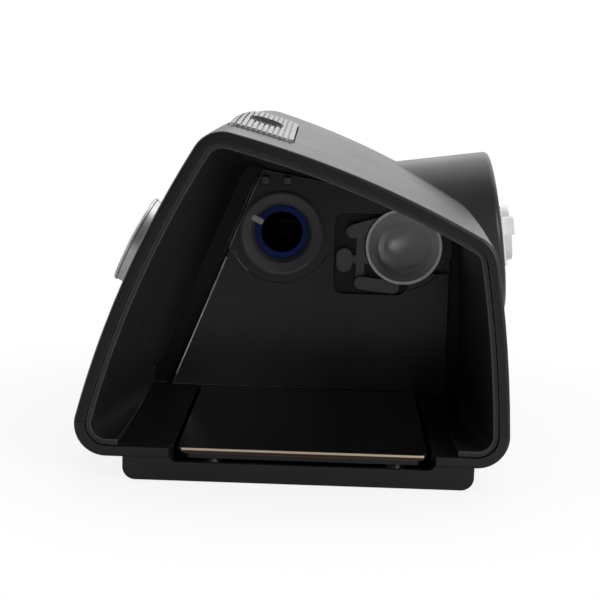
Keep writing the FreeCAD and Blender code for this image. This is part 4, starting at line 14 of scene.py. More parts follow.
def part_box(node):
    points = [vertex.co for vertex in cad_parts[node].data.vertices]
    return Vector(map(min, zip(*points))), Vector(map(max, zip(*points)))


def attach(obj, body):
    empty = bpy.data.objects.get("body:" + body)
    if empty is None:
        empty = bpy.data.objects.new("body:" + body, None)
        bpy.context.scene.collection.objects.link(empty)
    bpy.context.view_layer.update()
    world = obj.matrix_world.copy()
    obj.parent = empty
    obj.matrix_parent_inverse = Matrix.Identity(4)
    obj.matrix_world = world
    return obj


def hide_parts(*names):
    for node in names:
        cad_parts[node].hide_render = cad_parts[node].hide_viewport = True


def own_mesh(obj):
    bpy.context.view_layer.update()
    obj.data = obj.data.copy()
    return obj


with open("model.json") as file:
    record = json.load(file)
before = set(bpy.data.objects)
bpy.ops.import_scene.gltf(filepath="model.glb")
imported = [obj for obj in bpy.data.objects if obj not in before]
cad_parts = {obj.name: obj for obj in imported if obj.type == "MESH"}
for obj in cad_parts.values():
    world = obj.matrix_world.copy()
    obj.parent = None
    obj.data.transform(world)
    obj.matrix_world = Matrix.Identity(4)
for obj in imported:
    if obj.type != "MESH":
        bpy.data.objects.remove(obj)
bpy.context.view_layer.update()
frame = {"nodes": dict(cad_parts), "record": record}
nodes = frame["nodes"]
scene = bpy.context.scene
scene.view_settings.view_transform = "Standard"

MM = 0.001
WHITE = (1, 1, 1, 1)
X_AXIS, Z_AXIS = Vector((1, 0, 0)), Vector((0, 0, 1))


# ---------------------------------------------------------------- shader nodes
def add_node(tree, kind, sockets=None, **settings):
    """A new node with its settings, then the plain values of its sockets."""
    node = tree.nodes.new(kind)
    for name, value in settings.items():
        setattr(node, name, value)
    for name, value in (sockets or {}).items():
        node.inputs[name].default_value = value
    return node


def add_range(tree, start, end, low, high, **settings):
    """Maps start to low and end to high, and stays at those values beyond them."""
    sockets = {"From Min": start, "From Max": end, "To Min": low, "To Max": high}
    return add_node(tree, "ShaderNodeMapRange", sockets, **settings)


# ---------------------------------------------------------------- camera
CAMERA_PLACE = Vector((0.5458, 0.0062, 0.1312))
CAMERA_FORWARD = Vector((-0.9872, -0.0181, -0.1586))
CAMERA_ROLL = math.radians(1.7)
CAMERA_LENS, CAMERA_SENSOR = 90, 36  # millimetres
CAMERA_NEAREST = 0.01


def add_camera():
    """Looks into the tub bay from the right, a little from above, and leans slightly."""
    forward = CAMERA_FORWARD.normalized()
    right = forward.cross(Z_AXIS).normalized()
    up = right.cross(forward)
    tilted_right = right * math.cos(CAMERA_ROLL) + up * math.sin(CAMERA_ROLL)
    tilted_up = up * math.cos(CAMERA_ROLL) - right * math.sin(CAMERA_ROLL)
    data = bpy.data.cameras.new("camera")
    data.lens = CAMERA_LENS
    data.sensor_width = CAMERA_SENSOR
    data.clip_start = CAMERA_NEAREST
    camera = bpy.data.objects.new("camera", data)
    axes = Matrix((tilted_right, tilted_up, -forward)).transposed()
    camera.matrix_world = Matrix.Translation(CAMERA_PLACE) @ axes.to_4x4()
    scene.collection.objects.link(camera)
    scene.camera = camera


add_camera()


# ---------------------------------------------------------------- studio
TABLE_SIZE, TABLE_DROP = 3.0, 0.0002
TABLE_COLOUR, TABLE_ROUGHNESS, TABLE_SPECULAR = (0.88, 0.88, 0.88), 0.6, 0.2
SHADOW_REACH = (0.10, 0.19)  # metres from the origin, over which the shadow fades out
SHADOW_WHITE = (0.86, 1.0)  # share of plain white near the object and away from it
WORLD_LIGHT = 0.26
MIRRORED_TURN = (-0.2, 0.75)  # X of the direction; the bay opens towards +1
MIRRORED_LIGHT = (1.0, 0.22)
LAMPS = (  # name, place, point it looks at, width, watts
    ("top_lamp", (-0.55, 0.30, 0.90), (0, 0, 0.05), 1.3, 8.5),
    ("side_lamp", (0.78, 0.62, 0.36), (0, 0, 0.06), 0.45, 6.2),
    ("front_lamp", (-0.1, -0.95, 0.5), (0, 0, 0.06), 1.1, 4.0),
)


def white_when_seen(name):
    """A pale floor that the camera sees as plain white, but for a soft shadow by the object."""
    material = bpy.data.materials.new(name)
    material.use_nodes = True
    tree = material.node_tree
    link = tree.links.new
    surface, output = tree.nodes["Principled BSDF"], tree.nodes["Material Output"]
    surface.inputs["Base Color"].default_value = (*TABLE_COLOUR, 1)
    surface.inputs["Roughness"].default_value = TABLE_ROUGHNESS
    surface.inputs["Specular IOR Level"].default_value = TABLE_SPECULAR
    glow = add_node(tree, "ShaderNodeEmission", {"Color": WHITE, "Strength": 1.0})
    path = add_node(tree, "ShaderNodeLightPath")
    place = add_node(tree, "ShaderNodeTexCoord")
    distance = add_node(tree, "ShaderNodeVectorMath", operation="LENGTH")
    fade = add_range(tree, *SHADOW_REACH, *SHADOW_WHITE, interpolation_type="SMOOTHSTEP")
    share = add_node(tree, "ShaderNodeMath", operation="MULTIPLY")
    mix = add_node(tree, "ShaderNodeMixShader")
    link(place.outputs["Object"], distance.inputs[0])
    link(distance.outputs["Value"], fade.inputs["Value"])
    link(path.outputs["Is Camera Ray"], share.inputs[0])
    link(fade.outputs["Result"], share.inputs[1])
    link(share.outputs[0], mix.inputs["Fac"])
    link(surface.outputs[0], mix.inputs[1])
    link(glow.outputs[0], mix.inputs[2])
    link(mix.outputs[0], output.inputs["Surface"])
    return material


def add_world():
    """White backdrop for the camera. Mirrors see it too, dimmer towards the bay's open side."""
    world = bpy.data.worlds.new("studio")
    scene.world = world
    world.use_nodes = True
    tree = world.node_tree
    tree.nodes.clear()
    link = tree.links.new
    diffuse = add_node(tree, "ShaderNodeBackground", {"Color": WHITE, "Strength": WORLD_LIGHT})
    mirrored = add_node(tree, "ShaderNodeBackground", {"Color": WHITE})
    seen = add_node(tree, "ShaderNodeBackground", {"Color": WHITE, "Strength": 1.0})
    direction = add_node(tree, "ShaderNodeTexCoord")
    parts = add_node(tree, "ShaderNodeSeparateXYZ")
    fall = add_range(tree, *MIRRORED_TURN, *MIRRORED_LIGHT, interpolation_type="SMOOTHSTEP")
    path = add_node(tree, "ShaderNodeLightPath")
    either = add_node(tree, "ShaderNodeMath", operation="MAXIMUM")
    reflected = add_node(tree, "ShaderNodeMixShader")
    whole = add_node(tree, "ShaderNodeMixShader")
    output = add_node(tree, "ShaderNodeOutputWorld")
    link(direction.outputs["Generated"], parts.inputs[0])
    link(parts.outputs["X"], fall.inputs["Value"])
    link(fall.outputs["Result"], mirrored.inputs["Strength"])
    link(path.outputs["Is Glossy Ray"], either.inputs[0])
    link(path.outputs["Is Transmission Ray"], either.inputs[1])
    link(either.outputs[0], reflected.inputs["Fac"])
    link(diffuse.outputs[0], reflected.inputs[1])
    link(mirrored.outputs[0], reflected.inputs[2])
    link(path.outputs["Is Camera Ray"], whole.inputs["Fac"])
    link(reflected.outputs[0], whole.inputs[1])
    link(seen.outputs[0], whole.inputs[2])
    link(whole.outputs[0], output.inputs["Surface"])


def add_lamp(name, at, target, size, watts):
    """A soft square lamp that looks at a point."""
    data = bpy.data.lights.new(name, "AREA")
    data.shape = "SQUARE"
    data.size = size
    data.energy = watts
    lamp = bpy.data.objects.new(name, data)
    lamp.location = at
    lamp.rotation_euler = (Vector(target) - Vector(at)).to_track_quat("-Z", "Y").to_euler()
    scene.collection.objects.link(lamp)


def add_studio():
    """White table, white world and soft lamps."""
    bpy.ops.mesh.primitive_plane_add(size=TABLE_SIZE, location=(0, 0, -TABLE_DROP))
    table = bpy.context.object
    table.name = "table"
    table.data.materials.append(white_when_seen("table_white"))
    add_world()
    for lamp in LAMPS:
        add_lamp(*lamp)


add_studio()


# ---------------------------------------------------------------- procedural materials
NOISE_LOW, NOISE_HIGH = 0.35, 0.65  # where most of a noise's values lie
SMOOTHEST = 0.02
BEVEL_SAMPLES, CREVICE_SAMPLES = 4, 6
# painted highlight on edges: how far round an edge it reaches, and over which turn it fades in
EDGE_HIGHLIGHT_RADIUS = 0.0005
EDGE_HIGHLIGHT_TURN = (0.75, 0.97)  # cosines between the rounded and the flat normal: full painted highlight, none
DUST_SCALE, DUST_START, DUST_FADE = 1300, 0.72, 0.04
DUST_SLOPE = (0.0, 0.8)  # the normal's Z: no dust, all the dust


class Paint:
    """A procedural material under construction, with its node tree at hand."""

    def __init__(self, name, colour, roughness, **sockets):
        self.material = bpy.data.materials.new(name)
        self.material.use_nodes = True
        self.tree = self.material.node_tree
        self.shader = self.tree.nodes["Principled BSDF"]
        self.colour, self.roughness = colour, roughness
        self.shader.inputs["Base Color"].default_value = (*colour, 1)
        self.shader.inputs["Roughness"].default_value = roughness
        for socket, value in sockets.items():
            self.shader.inputs[socket.replace("_", " ")].default_value = value
        self.place = self.add("ShaderNodeTexCoord").outputs["Object"]
        self.layer = self.normal = None

    def add(self, kind, sockets=None, **settings):
        return add_node(self.tree, kind, sockets, **settings)

    def link(self, output, socket):
        self.tree.links.new(output, socket)
        return self

    # sources and masks, each an output socket
    def noise(self, scale, detail=3.0, stretch=None):
        """Noise over the object's own metres; scale counts features per metre."""
        texture = self.add("ShaderNodeTexNoise", {"Scale": scale, "Detail": detail})
        place = self.place
        if stretch:
            mapping = self.add("ShaderNodeMapping", {"Scale": stretch})
            self.link(place, mapping.inputs["Vector"])
            place = mapping.outputs["Vector"]
        self.link(place, texture.inputs["Vector"])
        return texture.outputs["Fac"]

    def ramp(self, source, low, high, start=NOISE_LOW, end=NOISE_HIGH):
        """Low where a source is at its start, high where it is at its end."""
        mapped = add_range(self.tree, start, end, low, high)
        self.link(source, mapped.inputs["Value"])
        return mapped.outputs["Result"]

    def facing(self, axis, start, end):
        """One where the surface looks along an axis."""
        parts = self.add("ShaderNodeSeparateXYZ")
        self.link(self.add("ShaderNodeNewGeometry").outputs["Normal"], parts.inputs[0])
        return self.ramp(parts.outputs[axis], 0, 1, start, end)

    def beyond(self, axis, start, end):
        """Goes from zero to one between two places along an axis of the object."""
        parts = self.add("ShaderNodeSeparateXYZ")
        self.link(self.place, parts.inputs[0])
        return self.ramp(parts.outputs[axis], 0, 1, start, end)

    def both(self, first, second):
        """One where two masks are one."""
        product = self.add("ShaderNodeMath", operation="MULTIPLY")
        self.link(first, product.inputs[0]).link(second, product.inputs[1])
        return product.outputs[0]

    def crevices(self, reach, start, end):
        """One in grooves narrower than the reach."""
        hidden = self.add("ShaderNodeAmbientOcclusion", {"Distance": reach},
                          samples=CREVICE_SAMPLES, only_local=True)
        return self.ramp(hidden.outputs["AO"], 1, 0, start, end)

    # layers of colour, roughness and relief, each laid over those before it
    def colour_from(self, mix):
        """Take the shader's colour from a mix, and remember it for the next layer."""
        self.layer = mix.outputs["Result"]
        return self.link(self.layer, self.shader.inputs["Base Color"])

    def mottle(self, scale, amount):
        """Vary the colour lightly round its own value."""
        darker = (*(c * (1 - amount) for c in self.colour), 1)
        lighter = (*(min(1, c * (1 + amount)) for c in self.colour), 1)
        mix = self.add("ShaderNodeMix", {"A": darker, "B": lighter}, data_type="RGBA")
        self.link(self.ramp(self.noise(scale), 0, 1), mix.inputs["Factor"])
        return self.colour_from(mix)

    def over(self, mask, colour):
        """Lay a second colour over the first where a mask is one."""
        mix = self.add("ShaderNodeMix", {"B": (*colour, 1)}, data_type="RGBA")
        self.link(mask, mix.inputs["Factor"])
        self.link(self.layer, mix.inputs["A"])
        return self.colour_from(mix)

    def dust(self, colour):
        """Sparse specks, only where the surface looks up."""
        specks = self.ramp(self.noise(DUST_SCALE, 1.0), 0, 1, DUST_START, DUST_START + DUST_FADE)
        return self.over(self.both(self.facing("Z", *DUST_SLOPE), specks), colour)

    def painted_edge_highlight(self, colour, amount):
        """Painted highlight where an edge turns: lighter where the rounded normal departs from
        the flat one.
        """
        rounded = self.add("ShaderNodeBevel", {"Radius": EDGE_HIGHLIGHT_RADIUS}, samples=BEVEL_SAMPLES)
        flat = self.add("ShaderNodeNewGeometry").outputs["Normal"]
        dot = self.add("ShaderNodeVectorMath", operation="DOT_PRODUCT")
        self.link(rounded.outputs["Normal"], dot.inputs[0]).link(flat, dot.inputs[1])
        return self.over(self.ramp(dot.outputs["Value"], amount, 0, *EDGE_HIGHLIGHT_TURN), colour)

    def vary_roughness(self, scale, amount, stretch=None):
        """Vary the roughness round its own value."""
        low = max(SMOOTHEST, self.roughness - amount)
        high = min(1, self.roughness + amount)
        varied = self.ramp(self.noise(scale, stretch=stretch), low, high)
        return self.link(varied, self.shader.inputs["Roughness"])

    def rougher(self, mask, roughness):
        """A second roughness where a mask is one."""
        mix = self.add("ShaderNodeMix", {"B": roughness})
        varied = self.shader.inputs["Roughness"].links[0].from_socket
        self.link(mask, mix.inputs["Factor"]).link(varied, mix.inputs["A"])
        return self.link(mix.outputs["Result"], self.shader.inputs["Roughness"])

    def soften(self, radius):
        """Round the sharp edges in the shading, as a mould's edge is."""
        node = self.add("ShaderNodeBevel", {"Radius": radius}, samples=BEVEL_SAMPLES)
        self.normal = node.outputs["Normal"]
        return self.link(self.normal, self.shader.inputs["Normal"])

    def bump(self, source, depth):
        """Add a bump, in metres, on top of those already there."""
        node = self.add("ShaderNodeBump", {"Strength": 1.0, "Distance": depth})
        self.link(source, node.inputs["Height"])
        if self.normal is not None:
            self.link(self.normal, node.inputs["Normal"])
        self.normal = node.outputs["Normal"]
        return self.link(self.normal, self.shader.inputs["Normal"])


def moulded(name, colour, roughness, specular=0.5, edge=0.00025, **sockets):
    """Moulded plastic: spark-eroded grain, softened edges and a faint unevenness of sheen."""
    paint = Paint(name, colour, roughness, Specular_IOR_Level=specular, **sockets)
    paint.mottle(scale=35, amount=0.08).vary_roughness(scale=28, amount=0.03)
    return paint.soften(edge).bump(paint.noise(scale=4200, detail=2.0), depth=0.000012)


def glossy(name, colour, roughness, **sockets):
    """Polished plastic with a slight orange peel."""
    paint = Paint(name, colour, roughness, **sockets)
    paint.mottle(scale=40, amount=0.10).vary_roughness(scale=30, amount=0.02)
    return paint.soften(0.0002).bump(paint.noise(scale=180, detail=1.0), depth=0.000006)


def metal(name, colour, roughness, stretch=None, metallic=1.0, **sockets):
    """Metal with brushing or casting marks."""
    paint = Paint(name, colour, roughness, Metallic=metallic, **sockets)
    paint.mottle(scale=300, amount=0.06).vary_roughness(scale=900, amount=0.05, stretch=stretch)
    marks = paint.noise(scale=1500, detail=2.0, stretch=stretch)
    return paint.soften(0.0002).bump(marks, depth=0.000008)


def woven(name, colour, scale):
    """Foam or fibre: coarse noise in height and colour."""
    paint = Paint(name, colour, roughness=0.95)
    paint.mottle(scale / 3, amount=0.3)
    return paint.bump(paint.noise(scale, detail=4.0), depth=0.0004)


# ---------------------------------------------------------------- materials of this machine
# middle of each control's face, and the direction the face looks in
KEY_CENTRE, KEY_AXIS = (0.045, -0.016, 0.109712), (0.040804, 0.266424, 0.962992)
HOME_CENTRE, HOME_AXIS = (0.018, -0.066639, 0.041), (-0.001824, -0.939016, 0.34387)
DIAL_CENTRE, DIAL_AXIS = (0.018, -0.056837, 0.064), (-0.012358, -0.898341, 0.439126)

# where along X the end wall turns rougher and takes painted shade: behind its raised panel's
# face, which is at
# -0.001, and, nearly black, just before its channel's floor, which is at -0.004
RECESS_X, CHANNEL_X = (-0.0014, -0.0016), (-0.0037, -0.0039)
# below the heater plate's top: where the painted highlight along its edge starts, and where it is
# full
PLATE_HIGHLIGHT_LOW, PLATE_HIGHLIGHT_HIGH = 0.0008, 0.0006

MOULDED = {  # colour, roughness, specular level
    # painted light: the outlet boot is a lighter copy of the black silicone, for faint light
    # inside the port
    "outlet_boot": ((0.075, 0.045, 0.060), 0.5),
    "tub_catches": ((0.030, 0.030, 0.032), 0.28),
    "port_ring_grey": ((0.155, 0.155, 0.163), 0.42),
    "seal_blue": ((0.005, 0.022, 0.165), 0.5, 0.15),
    "key_grey": ((0.44, 0.435, 0.48), 0.32),
    "latch_black": ((0.105, 0.102, 0.112), 0.36, 0.35),
    "white_plastic": ((0.80, 0.805, 0.78), 0.40),
    "inner_plastic": ((0.014, 0.013, 0.015), 0.45),
    "chip_black": ((0.02, 0.02, 0.02), 0.5),
    "cable_white": ((0.70, 0.70, 0.66), 0.45),
    "silicone_black": ((0.018, 0.018, 0.018), 0.62),
    "silicone_grey": ((0.30, 0.31, 0.32), 0.6),
    "rotor_plastic": ((0.10, 0.09, 0.10), 0.4),
}
GLOSSY = {  # colour, roughness
    "film_orange": ((0.10, 0.045, 0.016), 0.4),
    "dial_gloss": ((0.015, 0.015, 0.016), 0.16),
    "button_white": ((0.45, 0.46, 0.48), 0.25),
    "lcd_black": ((0.01, 0.01, 0.012), 0.12),
}
METALS = {  # colour, roughness, stretch of the brushing marks
    "contact_brass": ((0.80, 0.60, 0.28), 0.25),
    "spring_steel": ((0.26, 0.26, 0.265), 0.38),
    "steel": ((0.56, 0.56, 0.57), 0.25),
    "copper_winding": ((0.55, 0.22, 0.08), 0.35, (1, 1, 40)),
    "magnet_grey": ((0.16, 0.16, 0.17), 0.45),
}
WOVEN = {  # colour, features per metre
    "foam_grey": ((0.06, 0.06, 0.065), 700),
    "filter_white": ((0.75, 0.76, 0.77), 1500),
}


def shell_materials():
    """The covers' and the shroud's shell, the housing in painted shade that is darkest on its bay
    rim, and the base; each with a painted highlight on its edges.
    """
    shell = moulded("graphite_shell", (0.0200, 0.0195, 0.0205), 0.36, specular=0.30)
    # painted highlight on the shell's edges
    shell.painted_edge_highlight((0.060, 0.060, 0.063), amount=0.6)
    # painted shade: the housing is a darker copy of the shell, darker still on its faces towards
    # +X and in its crevices
    rim = moulded("graphite_shell_rim_shaded", (0.0110, 0.0110, 0.0120), 0.36, specular=0.27)
    rim.over(rim.facing("X", 0.50, 0.90), (0.0030, 0.0030, 0.0035))
    # painted highlight on the housing's edges
    rim.painted_edge_highlight((0.060, 0.060, 0.063), amount=0.6)
    rim.over(rim.crevices(0.0012, 0.30, 0.75), (0.0010, 0.0010, 0.0012))
    base = moulded("base_plastic", (0.0085, 0.0085, 0.0095), 0.40, specular=0.26)
    # painted highlight on the base's edges
    base.painted_edge_highlight((0.022, 0.022, 0.024), amount=0.5)
    return {"graphite_shell": shell, "upper_housing": rim, "base_plastic": base}


def bay_materials():
    """The bay's polished end wall, duller and in painted shade in its recesses, its liner and the
    outlet elbow; painted highlights on the edges.
    """
    bay = glossy("bay_gloss", (0.0180, 0.0170, 0.0187), 0.22, Specular_IOR_Level=0.20)
    # painted shade: a little darker behind the raised panel, nearly black in the channel
    bay.over(bay.beyond("X", *RECESS_X), (0.0160, 0.0150, 0.0165))
    bay.over(bay.beyond("X", *CHANNEL_X), (0.0010, 0.0010, 0.0012))
    # painted highlights on the end wall's edges, then dust
    bay.painted_edge_highlight((0.20, 0.20, 0.21), amount=0.9).dust((0.06, 0.06, 0.06))
    bay.rougher(bay.beyond("X", *RECESS_X), 0.42)
    liner = glossy("bay_gloss_liner", (0.014, 0.0135, 0.0148), 0.34, Specular_IOR_Level=0.34)
    # painted highlights on the liner's edges, then dust
    liner.painted_edge_highlight((0.12, 0.12, 0.123), amount=0.9).dust((0.08, 0.08, 0.08))
    smoke = Paint("smoke_clear", (0.80, 0.80, 0.82), 0.14, Transmission_Weight=0.35, IOR=1.52,
                  Coat_Weight=1.0, Coat_Roughness=0.03)
    smoke.mottle(scale=60, amount=0.04).vary_roughness(scale=40, amount=0.04)
    smoke.bump(smoke.noise(scale=160, detail=1.0), depth=0.00001)
    return {"bay_gloss": bay, "bay_liner": liner, "smoke_clear": smoke}


def heater_plate_material():
    """Brushed plate; on its edge at the bay's mouth, painted shade but for a painted highlight
    along the top.
    """
    plate = metal("heater_metal", (0.50, 0.44, 0.42), 0.13, stretch=(1, 30, 1))
    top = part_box("heater_plate")[1].z
    front = plate.facing("X", 0.5, 0.8)
    # painted shade on the edge that faces the bay's mouth
    plate.over(front, (0.045, 0.038, 0.034))
    # painted highlight along the top of that edge
    highlight_line = plate.beyond("Z", top - PLATE_HIGHLIGHT_LOW, top - PLATE_HIGHLIGHT_HIGH)
    return plate.over(plate.both(front, highlight_line), (0.62, 0.52, 0.40))


def button_material():
    """Satin button, with painted shade in the grooves between its ribs."""
    key = moulded("key_satin", (0.21, 0.215, 0.22), 0.38, edge=0.00012, Metallic=0.3)
    # painted shade in the grooves between the ribs
    return key.over(key.crevices(0.0009, 0.55, 0.90), (0.012, 0.012, 0.013))


def make_materials():
    """One material for every slot of the record, and four nodes' own."""
    board = Paint("board_green", (0.02, 0.13, 0.055), 0.35, Coat_Weight=0.3)
    board.mottle(scale=800, amount=0.25).bump(board.noise(900, 1.0), depth=0.00003)
    made = {
        **shell_materials(),
        **bay_materials(),
        "heater_metal": heater_plate_material(),
        "key_satin": button_material(),
        "board_green": board,
        "dial_chrome": metal("dial_chrome", (0.46, 0.46, 0.45), 0.36, stretch=(20, 1, 1),
                             metallic=0.85, Specular_Tint=(0.55, 0.55, 0.55, 1)),
        "fascia_gloss": glossy("fascia_gloss", (0.006, 0.006, 0.007), 0.09,
                               Coat_Weight=0.5, Coat_Roughness=0.04),
        "lens_clear": glossy("lens_clear", (0.008, 0.008, 0.010), 0.06,
                             Coat_Weight=0.6, Coat_Roughness=0.03),
    }
    for maker, rows in ((moulded, MOULDED), (glossy, GLOSSY), (metal, METALS), (woven, WOVEN)):
        made.update({name: maker(name, *row) for name, row in rows.items()})
    return made


def dress_nodes():
    """Give every solid the material of its slot, or its own where one bears its name."""
    materials = make_materials()
    for part in frame["record"]["subparts"]:
        node = nodes[part["node"]]
        paint = materials.get(part["node"], materials[part["material_slot"]])
        node.data.materials.clear()
        node.data.materials.append(paint.material)


dress_nodes()


# ---------------------------------------------------------------- meshes
TUBE_SIDES = 8


def as_piece(name, mesh, material, body, smooth=True, thickness=None):
    """Turn a bmesh into a piece that rides on a body; a thickness closes an open skin."""
    bmesh.ops.recalc_face_normals(mesh, faces=mesh.faces)
    for face in mesh.faces:
        face.smooth = smooth
    data = bpy.data.meshes.new(name)
    mesh.to_mesh(data)
    mesh.free()
    data.materials.append(material)
    piece = bpy.data.objects.new(name, data)
    scene.collection.objects.link(piece)
    if thickness:
        piece.modifiers.new("film", "SOLIDIFY").thickness = thickness
    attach(piece, body)
    return piece


def surface_of(carrier):
    """A search tree over an object's own mesh."""
    data = carrier.data
    return BVHTree.FromPolygons([v.co.copy() for v in data.vertices],
                                [tuple(f.vertices) for f in data.polygons])


def plane_across(axis):
    """The plane's own right and ahead, and the axis itself as up."""
    up = Vector(axis).normalized()
    side = (X_AXIS - up * up.x).normalized()
    return side, up.cross(side), up


def add_tube(mesh, centres, directions, radius):
    """A round tube through centres; each ring lies in its own pair of directions."""
    angles = [math.tau * k / TUBE_SIDES for k in range(TUBE_SIDES)]
    rings = []
    for centre, (out, across) in zip(centres, directions):
        rings.append([mesh.verts.new(centre + (out * math.cos(a) + across * math.sin(a)) * radius)
                      for a in angles])
    for ring, following in zip(rings, rings[1:]):
        for k in range(TUBE_SIDES):
            j = (k + 1) % TUBE_SIDES
            mesh.faces.new((ring[k], ring[j], following[j], following[k]))
    mesh.faces.new(rings[0])
    mesh.faces.new(rings[-1])


# ---------------------------------------------------------------- thin films
FILM_SIDES, FILM_LIFT = 96, 0.00004
FILM_START, FILM_SEARCH = 0.012, 0.03  # rays start this far above, and look this far down
FILM_STEPS = 3  # looks to either side, over the film's reach


def film(name, node, body, centre, axis, halves, rings, paint, reach=0.0):
    """An oval skin that lies on a node, smooth across grooves up to twice the reach wide."""
    tree = surface_of(nodes[node])
    side, ahead, up = plane_across(axis)
    mesh = bmesh.new()

    def surface(x, y):
        """The node's highest point over a short stretch, and a hair above it."""
        heights = []
        for step in range(-FILM_STEPS, FILM_STEPS + 1):
            along = y + step * reach / FILM_STEPS
            start = Vector(centre) + side * x + ahead * along + up * FILM_START
            hit = tree.ray_cast(start, -up, FILM_SEARCH)[0]
            if hit:
                heights.append(hit.dot(up))
        flat = Vector(centre) + side * x + ahead * y
        return flat + up * (max(heights) - flat.dot(up) + FILM_LIFT)

    middle = mesh.verts.new(surface(0, 0))
    rows = []
    for ring in range(1, rings + 1):
        wide, deep = (half * (ring / rings) for half in halves)
        rows.append([mesh.verts.new(surface(wide * math.cos(a), deep * math.sin(a)))
                     for a in (math.tau * i / FILM_SIDES for i in range(FILM_SIDES))])
    for i in range(FILM_SIDES):
        j = (i + 1) % FILM_SIDES
        mesh.faces.new((middle, rows[0][i], rows[0][j]))
        for inner, outer in zip(rows, rows[1:]):
            mesh.faces.new((inner[i], outer[i], outer[j], inner[j]))
    return as_piece(name, mesh, paint.material, body, thickness=FILM_LIFT)


def add_dish_painted_shade():
    """Painted shade: a dark film in the start/stop button's dish, darker still on its far side.
    """
    dark = Paint("dish_shade_film", (0.10, 0.10, 0.105), 0.75, Specular_IOR_Level=0.06)
    # painted shade, darkest on the dish's far side
    far_side_shade = dark.beyond("X", KEY_CENTRE[0] + 0.001, KEY_CENTRE[0] - 0.004)
    dark.mottle(scale=400, amount=0.10).over(far_side_shade, (0.008, 0.008, 0.009))
    dark.vary_roughness(scale=900, amount=0.06).bump(dark.noise(2500, 2.0), depth=0.000004)
    return film("dish_painted_shade", "start_stop_button", "start_stop_button",
                KEY_CENTRE, KEY_AXIS, halves=(0.0112, 0.0056), rings=12, paint=dark,
                reach=0.00066)


def add_dial_face():
    """The dial's lacquered face."""
    lacquer = glossy("dial_lacquer", (0.015, 0.015, 0.016), 0.16)
    film("dial_face", "dial_knob", "dial",
         DIAL_CENTRE, DIAL_AXIS, halves=(0.0134, 0.0134), rings=24, paint=lacquer)


# ---------------------------------------------------------------- printed symbols
INK_START, INK_SEARCH = 0.004, 0.02  # rays start this far above, and look this far down
INK_THICKNESS = 0.00002
INK_LIFT, INK_LIFT_ON_FILM = 0.00003, 0.00012


def ribbon(points, half):
    """The two edges of a flat stroke of even width along points in a plane."""
    left, right = [], []
    for i, point in enumerate(points):
        before, after = points[max(0, i - 1)], points[min(len(points) - 1, i + 1)]
        along = (after - before).normalized()
        across = Vector((-along.y, along.x)) * half
        left.append(point + across)
        right.append(point - across)
    return left, right


def printed(name, carrier, body, colour, centre, axis, strokes, half, lift=INK_LIFT):
    """Strokes printed on a carrier: each point is dropped onto its surface along the axis."""
    tree = surface_of(carrier)
    side, ahead, up = plane_across(axis)
    mesh = bmesh.new()
    for points in strokes:
        rows = []
        for edge in ribbon(points, half):
            row = []
            for point in edge:
                start = Vector(centre) + side * point.x + ahead * point.y + up * INK_START
                hit = tree.ray_cast(start, -up, INK_SEARCH)[0]
                row.append(mesh.verts.new((hit or start - up * INK_START) + up * lift))
            rows.append(row)
        left, right = rows
        for i in range(len(points) - 1):
            mesh.faces.new((left[i], right[i], right[i + 1], left[i + 1]))
    ink = Paint(name + "_ink", colour, 0.7, Specular_IOR_Level=0.3)
    ink.mottle(scale=900, amount=0.12).vary_roughness(scale=1500, amount=0.08)
    ink.bump(ink.noise(scale=3000, detail=2.0), depth=0.000004)
    as_piece(name, mesh, ink.material, body, smooth=False, thickness=INK_THICKNESS)


def arc(radius, start, end, count):
    """Points on an arc, angles in degrees from the symbol's own right."""
    angles = [math.radians(start + (end - start) * i / (count - 1)) for i in range(count)]
    return [Vector((radius * math.cos(a), radius * math.sin(a))) for a in angles]


def line(*points, steps=6):
    """Points along straight strokes, close enough to follow a hollow."""
    path = []
    for a, b in zip(points, points[1:]):
        path += [Vector(a).lerp(Vector(b), i / steps) for i in range(steps)]
    return path + [Vector(points[-1])]


def add_standby_mark(carrier):
    """An open ring with a stroke in its gap, on the film of painted shade in the start/stop
    button's dish.
    """
    ring = arc(2.1 * MM, 122, 418, 33)
    stroke = line((0, 0.5 * MM), (0, 2.7 * MM))
    printed("standby_mark", carrier, "start_stop_button", (0.30, 0.30, 0.31),
            KEY_CENTRE, KEY_AXIS, [ring, stroke], 0.22 * MM, INK_LIFT_ON_FILM)


def add_home_mark():
    """A small house on the home button."""
    roof_side, eaves, peak = 2.0 * MM, 0.1 * MM, 2.0 * MM
    wall, wall_top, ground = 1.3 * MM, 0.3 * MM, -1.6 * MM
    roof = line((-roof_side, eaves), (0, peak), (roof_side, eaves))
    walls = line((-wall, wall_top), (-wall, ground), (wall, ground), (wall, wall_top))
    printed("home_mark", nodes["home_button"], "home_button",
            (0.03, 0.03, 0.033), HOME_CENTRE, HOME_AXIS, [roof, walls], 0.18 * MM)


# ---------------------------------------------------------------- painted highlights on the end wall
# in millimetres: the front edge of the end wall's raised panel, by a point low on it and its
# lean per height, and the points in Y and Z of the step in the port plate's lower edge
PANEL_FOOT_Y, PANEL_FOOT_Z, PANEL_LEAN = -50.65, 10.2, 0.39967
PANEL_EDGE_X, PLATE_FACE_X = -1.05, 0.2
PLATE_STEP = ((-30.3, 61.3), (-28.3, 60.5), (-26.96, 58.0), (-25.23, 55.7), (-23.2, 53.75))


